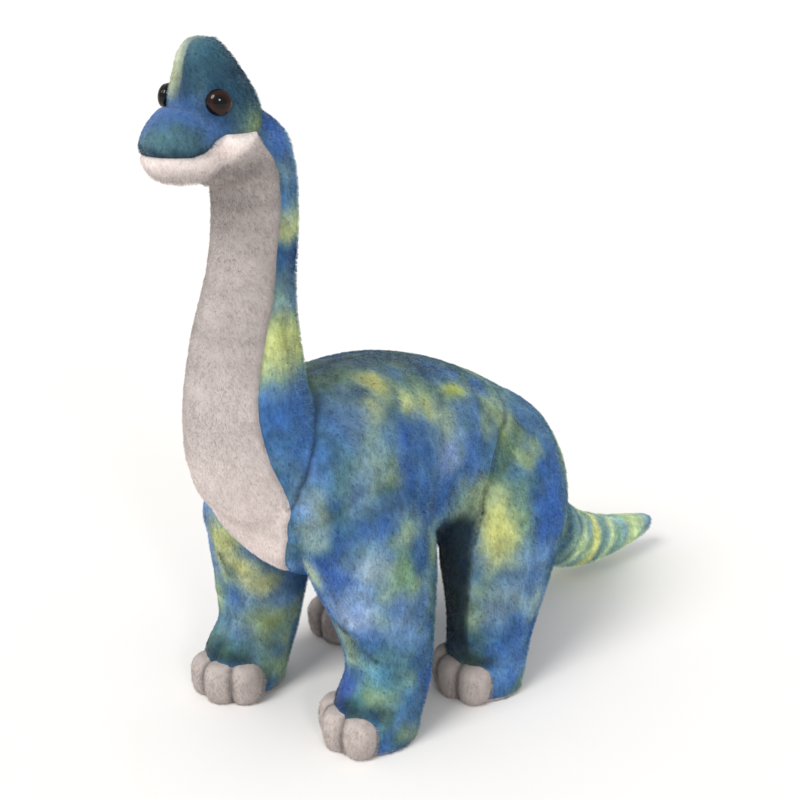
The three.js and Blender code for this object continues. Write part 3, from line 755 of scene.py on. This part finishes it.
# Painted shade along soft creases in the plush: start, end, half-width and how much darker.
FOLD_SHADES = [
    ((30, -38, 84), (56, -24, 56), 1.3, 0.45), ((56, -24, 56), (63, -12, 52), 1.3, 0.25),
    ((38, -40, 68), (62, -14, 66), 1.2, 0.2), ((44, 8, 168), (50, 12, 125), 2.2, 0.22),
    ((52, 27, 150), (52, 25, 118), 2.0, 0.22), ((-42, -46, 96), (-42, -38, 60), 1.8, 0.5),
    ((-42, -38, 60), (-39, -41, 32), 1.8, 0.5), ((46, -36, 100), (44, -33, 30), 0.8, 0.25),
    ((57, 55, 80), (56, 47, 30), 0.9, 0.3), ((12, 30, 199), (32, 52, 184), 1.6, 0.25),
    ((20, 14, 198), (36, 30, 184), 1.4, 0.25), ((41, 98, 161), (30, 104, 168), 1.2, 0.45),
]


def stained(colour, p, patches, gain=1.0):
    """The colour after patches of dye, each full in its middle with a soft edge."""
    for middle, reach, dye, strength in patches:
        d = ((p - middle) / (np.array(reach) * 1.15)) ** 2
        share = np.clip(strength * gain, 0, 1) * np.exp(-0.9 * d.sum(1) ** 1.35)
        colour = colour + (np.array(dye) - colour) * share[:, None]
    return colour


def ground_dye(p, seed):
    """The mottled blue and teal between the patches."""
    n = noise_at(p, 30, seed) + 0.5 * noise_at(p, 12, seed + 1)
    colour = np.tile(np.array(GROUND, float), (len(p), 1))
    for axis, tone, other in ((0, NAVY, SKY), (1, PINE, TEAL), (2, ROYAL, SAGE)):
        up = np.clip(n[:, axis] * 1.7, 0, 0.75)[:, None]
        down = np.clip(-n[:, axis] * 1.7, 0, 0.75)[:, None]
        colour = colour * (1 - up - down) + np.array(tone) * up + np.array(other) * down
    return colour


def mottled(colour, p):
    """Smaller light and dark clouds over the dye."""
    broad, small = noise_at(p * (1, 1, 0.8), 9, 51), noise_at(p, 4.2, 52)
    streak = noise_at(p * (1, 1, 0.4), 2.6, 53)[:, 0]
    cloud = broad[:, 0] + 0.6 * small[:, 0]
    calm = np.where(p[:, 2] > 328, 0.35, 1.0)[:, None]  # the head is more even
    colour = colour * (1 + (0.17 * cloud + 0.1 * streak)[:, None] * (0.4 + 0.6 * calm))
    turned = np.clip(broad[:, 1] + 0.35 * small[:, 1], -0.8, 0.8)[:, None]
    towards = np.where(turned > 0, np.array((10, 12, -14)), np.array((18, 10, -8)))
    colour = colour + towards * turned * calm * 0.6
    grey = colour.mean(axis=1, keepdims=True)
    return colour + (grey - colour) * 0.06


def foot_of(leg):
    outline, mirror, lean = LEGS[leg]
    _, x, y, a, b = outline[1][0]
    return mirror * (x + lean[0]), y + lean[1], a, b


def side_dye(p, near, left):
    """The dye of the whole toy but its head and tail; the far side's is the near side's, moved."""
    near_side = ground_dye(p, 20)
    for patches in (FLANK_DYE, FORELEG_DYE, NECK_DYE, HIND_DYE):
        near_side = stained(near_side, near, patches)
    moved = (near + noise_at(p, 24, 14) * 8) * (-1, 1, 1) + (0, 13, -9)
    far_side = stained(ground_dye(p, 31), moved, FLANK_DYE + HIND_DYE + FORELEG_DYE, 0.9)
    far_side = stained(far_side, near * (-1, 1, 1) + (0, 4, 10), NECK_DYE)
    far_side = stained(far_side, near, FAR_LEG_DYE)
    return near_side, np.where(left[:, None], near_side, far_side)


def banded_tail(colour, p, near):
    band = near[:, 1] - 0.5 * (near[:, 2] - 30)
    on_tail = np.clip((p[:, 1] - 172) / 14, 0, 1)
    for y, reach, dye in TAIL_BANDS:
        share = 0.9 * on_tail * np.exp(-(((band - y) / reach) ** 2))
        colour = colour + (np.array(dye) - colour) * share[:, None]
    # painted light: lighter towards the end of the tail, against the body's shadow on it
    return colour * (1 + 0.22 * np.clip((p[:, 1] - 185) / 25, 0, 1))[:, None]


def dark_hems(colour, p):
    """Painted shade on each leg's front where it meets its toes."""
    for leg in LEGS:
        x, y, _, _ = foot_of(leg)
        front = np.clip((y - 6 - p[:, 1]) / 8, 0, 1) * (p[:, 1] > y - 45)
        front *= np.abs(p[:, 0] - x) < 32
        colour = colour * (1 - 0.42 * front * np.exp(-(((p[:, 2] - 26) / 5) ** 2)))[:, None]
    return colour


def head_dye(colour, near_side, p, near, left):
    crest = (p[:, 2] > 337)[:, None]
    head = stained(stained(near_side, near, HEAD_DYE), near, SNOUT_DYE)
    far_head = stained(head, near * (-1, 1, 1), HEAD_DYE)
    far_head = stained(stained(far_head, near, FAR_HEAD_DYE), near, SNOUT_DYE)
    on_head = FIELDS["head"](p)[:, None] > 0
    colour = np.where(on_head & crest, np.where(left[:, None], head, far_head), colour)
    snout = (FIELDS["snout"](p) > -1)[:, None] & on_head
    base = near_side * 0.6 + np.array(TEAL) * 0.4
    return np.where(snout, stained(base, near, SNOUT_DYE), colour)


def dark_thighs(colour, p):
    """Painted shadow over darker dye on the inner side of the hind legs, in front."""
    x, y, z = -leg_middle(p, "hindleg"), p[:, 1], p[:, 2]
    shade = np.clip((x + 1.5) / 3, 0, 1) * np.clip((118 - z) / 10, 0, 1)
    shade = shade * np.clip((84 - y) / 14, 0, 1)
    shade *= (y > LEG_PARTING) * np.clip((z - 24) / 10, 0, 1)
    return colour + (np.array(THIGH_DYE_AND_SHADE) - colour) * 0.92 * shade[:, None]


def dyed(p):
    """The colour of the blue plush at points, 0 to 255, with painted shade in its folds, hems and
    inner thighs and painted light on the tail.
    """
    near = p + noise_at(p, 13, 11) * 3.2 + noise_at(p, 5, 12) * 1.8  # gives patches a ragged edge
    left = p[:, 0] > 0
    tail_zone = p[:, 1] > 160
    left[tail_zone] = tail_middle(p)[tail_zone] > -8
    near_side, colour = side_dye(p, near, left)
    colour = dark_hems(banded_tail(colour, p, near), p)
    colour = dark_thighs(head_dye(colour, near_side, p, near, left), p)
    # painted shade along the soft creases
    for start, end, reach, depth in FOLD_SHADES:
        colour = colour * (1 - depth * np.exp(-((from_line(p, start, end) / reach) ** 2)))[:, None]
    return mottled(colour, p)


def from_line(p, start, end):
    """How far points lie from a straight line between two points."""
    start, way = np.array(start, float), np.subtract(end, start)
    share = np.clip(((p - start) @ way) / (way @ way), 0, 1)
    return np.linalg.norm(p - start - share[:, None] * way, axis=1)


def greige(p):
    """The colour of the plain plush at points, 0 to 255, with painted light and shade by height,
    painted light on the jaw and shaded throat bands.
    """
    z = p[:, 2]
    n = noise_at(p * (1, 1, 1.6), 16, 41)[:, 0] * 9 + noise_at(p, 4, 42)[:, 0] * 6
    # painted light and shade by height, and painted light on the jaw
    tone = along(GREIGE_LIGHT_BY_HEIGHT, z) * np.where((FIELDS["head"](p) > 0) & (z > 250), JAW_LIGHT, 1)
    band = sum(depth * np.exp(-(((z - at) / reach) ** 2)) for at, reach, depth in THROAT_BANDS)
    band = band * np.clip((326 - z) / 3, 0, 1) + 0.05 * noise_at(p * (0.3, 0.3, 1), 14, 43)[:, 0]
    return (GREIGE + n[:, None] * (1, 1.02, 1.05)) * (tone * (1 - band))[:, None]


# ---- materials ----
def new_material(name, rough, specular, sheen=0.0):
    material = bpy.data.materials.new(name)
    material.use_nodes = True
    shader = material.node_tree.nodes["Principled BSDF"]
    shader.inputs["Roughness"].default_value = rough
    shader.inputs["Specular IOR Level"].default_value = specular
    shader.inputs["Sheen Weight"].default_value = sheen
    shader.inputs["Sheen Roughness"].default_value = 0.45
    return material, material.node_tree, shader


def add_node(tree, kind, **values):
    """A node with values for its settings, or else for the inputs of that name."""
    node = tree.nodes.new(kind)
    for key, value in values.items():
        if hasattr(node, key):
            setattr(node, key, value)
        else:
            node.inputs[key.replace("_", " ")].default_value = value
    return node


def placed_noise(tree, squeeze, *noises):
    """Noise of each scale, detail and roughness, drawn out upwards where squeeze is under 1."""
    place = add_node(tree, "ShaderNodeTexCoord")
    stretch = add_node(tree, "ShaderNodeMapping", Scale=(1, 1, squeeze))
    tree.links.new(place.outputs["Object"], stretch.inputs["Vector"])
    made = []
    for scale, detail, rough in noises:
        node = add_node(tree, "ShaderNodeTexNoise", Scale=scale, Detail=detail, Roughness=rough)
        tree.links.new(stretch.outputs["Vector"], node.inputs["Vector"])
        made.append(node.outputs["Fac"])
    return made


def map_range(tree, value, to, given=(0, 1)):
    node = add_node(
        tree, "ShaderNodeMapRange", From_Min=given[0], From_Max=given[1], To_Min=to[0], To_Max=to[1]
    )
    tree.links.new(value, node.inputs["Value"])
    return node.outputs["Result"]


def combine(tree, operation, a, b):
    node = add_node(tree, "ShaderNodeMath", operation=operation)
    tree.links.new(a, node.inputs[0])
    tree.links.new(b, node.inputs[1])
    return node.outputs[0]


def paint(tree, shader, light):
    """Colours the shader with the piece's own dye, times light."""
    dye = add_node(tree, "ShaderNodeAttribute", attribute_name="dye")
    tint = add_node(tree, "ShaderNodeVectorMath", operation="SCALE")
    tree.links.new(dye.outputs["Color"], tint.inputs[0])
    tree.links.new(light, tint.inputs["Scale"])
    tree.links.new(tint.outputs["Vector"], shader.inputs["Base Color"])


def plush(name, spread):
    """Short pile: the dye with fine light and dark tufts, and a furry bump."""
    material, tree, shader = new_material(name, 0.92, 0.12, 0.25)
    fine, coarse = placed_noise(tree, 0.45, (900, 4, 0.7), (160, 3, 0.6))
    both = combine(tree, "ADD", fine, coarse)
    paint(tree, shader, map_range(tree, both, (1 - spread, 1 + spread), (0.6, 1.4)))
    raised = add_node(tree, "ShaderNodeBump", Strength=0.8, Distance=0.0007)
    tree.links.new(both, raised.inputs["Height"])
    tree.links.new(raised.outputs["Normal"], shader.inputs["Normal"])
    return material


def strands(name, tufts):
    """The same dye on the pile's hairs, in light and dark tufts and lighter towards the tips."""
    material, tree, shader = new_material(name, 0.75, 0.15)
    info = add_node(tree, "ShaderNodeHairInfo")
    each = map_range(tree, info.outputs["Random"], (0.85, 1.18))
    tip = map_range(tree, info.outputs["Intercept"], (0.8, 1.12))
    (grain,) = placed_noise(tree, 0.35, (850, 1, 0.5))
    grain = map_range(tree, grain, tufts, (0.28, 0.72))
    paint(tree, shader, combine(tree, "MULTIPLY", combine(tree, "MULTIPLY", each, tip), grain))
    return material


def eye_plastic():
    material, tree, shader = new_material("eye plastic", 0.06, 0.28)
    (cloud,) = placed_noise(tree, 1, (700, 2, 0.5))
    paint(tree, shader, map_range(tree, cloud, (0.8, 1.2)))
    return material


def clouded(name, rough, specular, scale, detail, dark, light):
    """A plain surface whose colour drifts between two that are nearly the same."""
    material, tree, shader = new_material(name, rough, specular)
    (cloud,) = placed_noise(tree, 1, (scale, detail, 0.5))
    ramp = add_node(tree, "ShaderNodeValToRGB")
    for element, colour in zip(ramp.color_ramp.elements, (dark, light)):
        element.color = (*colour, 1)
    tree.links.new(cloud, ramp.inputs["Fac"])
    tree.links.new(ramp.outputs["Color"], shader.inputs["Base Color"])
    return material


# Each slot's plush: its skin, its hairs, their length, and how they clump and kink.
PLUSH = {
    "blue_plush": (plush("blue plush", 0.3), strands("blue pile", (0.5, 1.5)), 0.0016, 0.3, 0.0005),
    "greige_plush": (
        plush("greige plush", 0.1), strands("greige pile", (0.8, 1.16)), 0.0015, 0.1, 0.0002
    ),
}
DYE_LIFT = 0.84  # the pile darkens and deepens a colour by this power, so it is taken out first
HAIRS_PER_MM2 = 0.3
HAIR_CHILDREN = 10
HAIR_LIE = (0.0, 0.4, -0.6)  # backwards and down


# ---- pieces ----
def give_pile(obj, slot, seed, length=None):
    """Short hair over a piece, lying a little backwards and down."""
    _, _, usual_length, clump, kink = PLUSH[slot]
    area = sum(p.area for p in obj.data.polygons) / MM**2
    obj.modifiers.new("pile", "PARTICLE_SYSTEM")
    system = obj.particle_systems[-1]
    system.seed = seed
    hair = system.settings
    unit = (length or usual_length) / 4  # Blender's hair is 4 times as long as its factors say
    hair.type = "HAIR"
    hair.use_advanced_hair = True
    hair.count = int(area * HAIRS_PER_MM2)
    hair.hair_step = 3
    hair.render_step = 2
    hair.normal_factor = unit * 0.8
    hair.object_align_factor = [unit * axis for axis in HAIR_LIE]
    hair.factor_random = unit * 0.25
    hair.child_type = "INTERPOLATED"
    hair.child_percent = 0
    hair.rendered_child_count = HAIR_CHILDREN
    hair.clump_factor = clump
    hair.roughness_2 = kink
    hair.roughness_endpoint = 0.0003
    hair.root_radius, hair.tip_radius, hair.radius_scale = 0.1, 0.03, 0.001
    hair.material = 2
    if "pile" in obj.vertex_groups:
        system.vertex_group_length = "pile"


def set_dye(mesh, colours, lift=DYE_LIFT):
    """Colours 0 to 255 for each vertex, kept on the corners of its faces."""
    colours = (np.clip(colours, 0, 255) / 255) ** lift * 255
    loops = np.empty(len(mesh.loops), int)
    mesh.loops.foreach_get("vertex_index", loops)
    rgba = np.ones((len(loops), 4))
    rgba[:, :3] = np.clip(colours, 0, 255)[loops] / 255
    attribute = mesh.color_attributes.new("dye", "BYTE_COLOR", "CORNER")
    attribute.data.foreach_set("color_srgb", rgba.ravel())


def finish_mesh(obj, materials):
    obj.data.materials.clear()
    for material in materials:
        obj.data.materials.append(material)
    obj.data.polygons.foreach_set("use_smooth", [True] * len(obj.data.polygons))


def dress(obj, slot, colours):
    set_dye(obj.data, colours)
    finish_mesh(obj, PLUSH[slot][:2])


shade_at_seams = 1 - 0.28 * np.clip(sunk / 2.5, 0, 1)[:, None]
colour_of_skin = {
    "blue_plush": dyed(skin) * shade_at_seams,
    "greige_plush": greige(skin) * shade_at_seams,
}
GREIGE_REGIONS = {"jaw", "throat", "bib"}
PIECES = {
    "head_left": ("head", ["head_panel_left"]),
    "head_right": ("head", ["head_panel_right"]),
    "snout": ("head", ["snout_panel"]),
    "jaw": (HEAD_BEND, ["jaw_panel", "head_filling"]),
    "throat": (HEAD_BEND, ["throat_panel"]),
    "nape_left": (HEAD_BEND, ["neck_panel_left", "neck_filling"]),
    "nape_right": (HEAD_BEND, ["neck_panel_right"]),
    "bib": (NECK_BEND, ["chest_bib"]),
    "shoulder_left": (NECK_BEND, []),
    "shoulder_right": (NECK_BEND, []),
    "flank_left": (NECK_BEND, ["flank_panel_left", "torso_filling"]),
    "flank_right": (NECK_BEND, ["flank_panel_right"]),
    "belly": ("torso", ["belly_panel"]),
    "hip_left": (TAIL_BEND, ["hip_panel_left", "tail_panel_left", "tail_filling"]),
    "hip_right": (TAIL_BEND, ["hip_panel_right", "tail_panel_right"]),
}
for leg in LEGS:
    PIECES[leg + "_out"] = (leg_bend(leg), [leg + "_outer_panel", leg + "_filling"])
    PIECES[leg + "_in"] = (leg_bend(leg), [leg + "_inner_panel"])


def declare(piece, nodes, motion):
    """Hides the CAD nodes a stuffed piece stands for and parents it to the body it follows; a piece
    given a bend is left unparented.
    """
    if nodes:
        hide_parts(*nodes)
    if isinstance(motion, str):
        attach(piece, motion)
    else:
        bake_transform(piece)


for number, (region, (motion, nodes)) in enumerate(PIECES.items()):
    mine = faces[regions == region]
    used, index = np.unique(mine, return_inverse=True)
    index = index.reshape(mine.shape)
    rows = [row[:3] if row[2] == row[3] else row for row in index]
    piece = mesh_object(region + "_plush", to_row(skin[used]), rows)
    slot = "greige_plush" if region in GREIGE_REGIONS else "blue_plush"
    dress(piece, slot, colour_of_skin[slot][used])
    piece.data.normals_split_custom_set_from_vertices([tuple(n) for n in normals[used]])
    pile = piece.vertex_groups.new(name="pile")
    for i, near in enumerate(near_seam[used]):
        pile.add([i], 1 - 0.6 * near, "REPLACE")
    give_pile(piece, slot, number + 1)
    declare(piece, nodes, motion)
bpy.data.objects.remove(body)

# ---- feet ----
TOE_SIZE = (11.2 - 0.9, 11 - 0.8, 14.5 - 1.4)  # half-widths, less the pile
TOE_LIFT = 10.5
TOE_SPREAD = 40  # degrees between toes
TOES_TURNED_IN = 14
TOE_REACH = 0.8  # where the toes' middles are, of the foot's own half-widths
TOE_VOXEL = 0.0012
TOE_PILE = 0.002


def lobe(middle, size, turn, rows=14, sides=24):
    """A closed lobe in mm, boxier than a ball and fuller on top, turned about the upright axis."""
    points = []
    for angle in np.linspace(-math.pi / 2, math.pi / 2, rows + 1):
        around = circle(sides)
        wide = max(math.cos(angle), 0.02) ** 0.62
        high = math.copysign(abs(math.sin(angle)) ** 0.85, angle)
        wide *= 1 + 0.08 * high
        level = np.full(sides, high)
        points.append(np.stack([wide * np.cos(around), wide * np.sin(around), level], 1))
    points = np.vstack(points) * size
    c, s = math.cos(turn), math.sin(turn)
    points = points @ np.array([[c, s, 0], [-s, c, 0], [0, 0, 1]]) + middle
    return points, ring_faces(rows + 1, sides)


def make_toes(leg, seed):
    """Three stuffed lobes in a row round the front of a foot, folded in where they meet, with
    painted shade there.
    """
    x, y, a, b = foot_of(leg)
    inwards = math.copysign(1, x)
    lobes, middles = [], []
    for place in (-1, 0, 1):
        turn = math.radians(place * TOE_SPREAD - inwards * TOES_TURNED_IN)
        ahead, aside = TOE_REACH * b * math.cos(turn), TOE_REACH * a * math.sin(turn)
        middles.append((x + aside, y - ahead, TOE_LIFT))
        lobes.append(lobe(middles[-1], TOE_SIZE, turn))
    piece = join_lofts(leg + "_toes_plush", lobes)
    remesh(piece, TOE_VOXEL)
    smooth(piece, 2)
    p = from_row(corners(piece))
    p[:, 2] = np.maximum(p[:, 2], 0.3)
    p += noise_at(p, 6, seed) * 0.35 * (p[:, 2:3] > 2)
    set_corners(piece, to_row(p))
    away = np.sort(np.linalg.norm((p[:, None] - middles) * (1, 1, 0.2), axis=2), axis=1)
    # painted shade in the creases between the lobes
    crease_shade = np.exp(-(((away[:, 1] - away[:, 0]) / 2.2) ** 2))[:, None]
    dress(piece, "greige_plush", greige(p) * (1.01, 1, 0.99) * (1 - 0.36 * crease_shade))
    give_pile(piece, "greige_plush", seed, TOE_PILE)
    declare(piece, [leg + "_toes"], leg)


SOLE_PROFILE = [  # share of the foot's half-widths, and height
    (0, 0.25), (0.6, 0.25), (0.88, 0.3), (0.95, 0.6), (0.985, 1.3), (0.975, 2.1), (0.9, 2.9),
    (0.5, 3.0), (0, 3.0),
]


def make_sole(leg, sides=56):
    """A flat oval with a rolled edge under a foot."""
    x, y, a, b = foot_of(leg)
    turn = circle(sides)
    rings = []
    for share, z in SOLE_PROFILE:
        share = max(share, 0.01)
        u, v = x + share * (a - 1) * np.cos(turn), y + share * (b - 1) * np.sin(turn)
        rings.append(np.stack([u, v, np.full(sides, z)], 1))
    tube = ring_faces(len(rings), sides, first=False, last=False)
    piece = join_lofts(leg + "_sole_plush", [(np.vstack(rings), tube)])
    dress(piece, "greige_plush", greige(from_row(corners(piece))) * 0.93)
    declare(piece, [leg + "_sole"], leg)


for number, leg in enumerate(LEGS):
    make_toes(leg, 60 + number)
    make_sole(leg)

# ---- eyes ----
EYE_MIDDLE, EYE_WAY = (18.2, -84.5, 352.5), (0.82, -0.55, 0.16)
EYE_RADIUS, EYE_DOME = 6.1, 4.4
RIM_RADIUS, RIM_HEIGHT = 0.93, 1.05  # where the dome starts, of the radius and in mm
EYE_BLACK, EYE_BROWN = np.array((4, 3, 3)), np.array((40, 13, 5))
EYE_PLASTIC = eye_plastic()
WASHER_PLASTIC = clouded(
    "washer plastic", 0.4, 0.5, 400, 3, (0.72, 0.72, 0.7), (0.84, 0.84, 0.82)
)


def make_eye(side, mirror, sides=48):
    """A domed plastic eye: dark rim, brown ring and black pupil under a clear gloss."""
    profile = [(0.55, -3), (0.94, -2.2), (1.0, -0.6), (1.0, 0.4), (0.97, 0.9)]
    profile.append((RIM_RADIUS, RIM_HEIGHT))
    for step in range(1, 17):
        angle = math.radians(90 * step / 16)
        height = RIM_HEIGHT + (EYE_DOME - RIM_HEIGHT) * math.sin(angle)
        profile.append((RIM_RADIUS * math.cos(angle), height))
    turn = circle(sides)
    rings = []
    for r, h in profile:
        u, v = EYE_RADIUS * r * np.cos(turn), EYE_RADIUS * r * np.sin(turn)
        rings.append(np.stack([u, v, np.full(sides, h)], 1))
    points = np.vstack(rings)
    turned = np.array(Vector(EYE_WAY).normalized().to_track_quat("Z", "Y").to_matrix())
    placed = (points @ turned.T + EYE_MIDDLE) * (mirror, 1, 1)
    tube = ring_faces(len(profile), sides, last=False)
    piece = join_lofts("eye_" + side + "_dome", [(placed, tube)])
    reach = np.hypot(points[:, 0], points[:, 1]) / EYE_RADIUS
    ringed = (reach >= 0.42) & (points[:, 2] >= 1.0)
    warm = np.exp(-(((reach - 0.66) / 0.2) ** 2)) * ringed
    set_dye(piece.data, EYE_BLACK + EYE_BROWN * warm[:, None], 1)
    finish_mesh(piece, [EYE_PLASTIC])
    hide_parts("eye_" + side)
    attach(piece, "head")


for side, mirror in (("left", 1), ("right", -1)):
    make_eye(side, mirror)
    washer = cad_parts["eye_washer_" + side]
    washer.data.materials.clear()
    washer.data.materials.append(WASHER_PLASTIC)

# ---- camera and light ----
AZIMUTH, ELEVATION, DISTANCE = math.radians(42.0), math.radians(19.1), 0.819
FOCAL_LENGTH = 1.74  # of the picture's width
TARGET = Vector((-0.0129, -0.0222, 0.1631))
back = Vector((
    math.sin(AZIMUTH) * math.cos(ELEVATION),
    -math.cos(AZIMUTH) * math.cos(ELEVATION),
    math.sin(ELEVATION),
))
camera = add_object("camera", bpy.data.cameras.new("camera"))
camera.data.sensor_width = 36
camera.data.lens = FOCAL_LENGTH * 36
camera.location = TARGET + back * DISTANCE
camera.rotation_mode = "QUATERNION"
camera.rotation_quaternion = (-back).to_track_quat("-Z", "Y")
camera.data.clip_start, camera.data.clip_end = 0.02, 50
bpy.context.scene.camera = camera

FLOOR = 30
floor_corners = [(x * FLOOR, y * FLOOR, 0) for x, y in ((-1, -1), (1, -1), (1, 1), (-1, 1))]
floor = mesh_object("floor", floor_corners, [(0, 1, 2, 3)])
floor.data.materials.append(
    clouded("floor", 0.9, 0.1, 30, 2, (0.935, 0.92, 0.905), (0.945, 0.93, 0.915))
)


def add_sun(name, energy, degrees, way, colour=(1, 1, 1)):
    sun = add_object(name, bpy.data.lights.new(name, "SUN"))
    sun.data.energy, sun.data.angle, sun.data.color = energy, math.radians(degrees), colour
    sun.rotation_mode = "QUATERNION"
    sun.rotation_quaternion = way.to_track_quat("Z", "Y")


AMBIENT, KEY, GLINT = 0.64, 2.0, 0.5
sideways = Vector((math.cos(AZIMUTH), math.sin(AZIMUTH), 0))
key_way = -sideways * 0.75 + back * 0.9 + Vector((0, 0, 0.8))
add_sun("key", KEY, 28, key_way, (1, 0.985, 0.965))
add_sun("glint", GLINT, 10, back * 0.9 + sideways * 0.3 + Vector((0, 0, 0.1)))
world = bpy.data.worlds.new("world")
bpy.context.scene.world = world
world.use_nodes = True
sky = world.node_tree.nodes["Background"]
path = add_node(world.node_tree, "ShaderNodeLightPath")
level = map_range(world.node_tree, path.outputs["Is Camera Ray"], (AMBIENT, 1))  # seen as white
world.node_tree.links.new(level, sky.inputs["Strength"])
sky.inputs["Color"].default_value = (1, 1, 1, 1)
bpy.context.scene.view_settings.view_transform = "Standard"
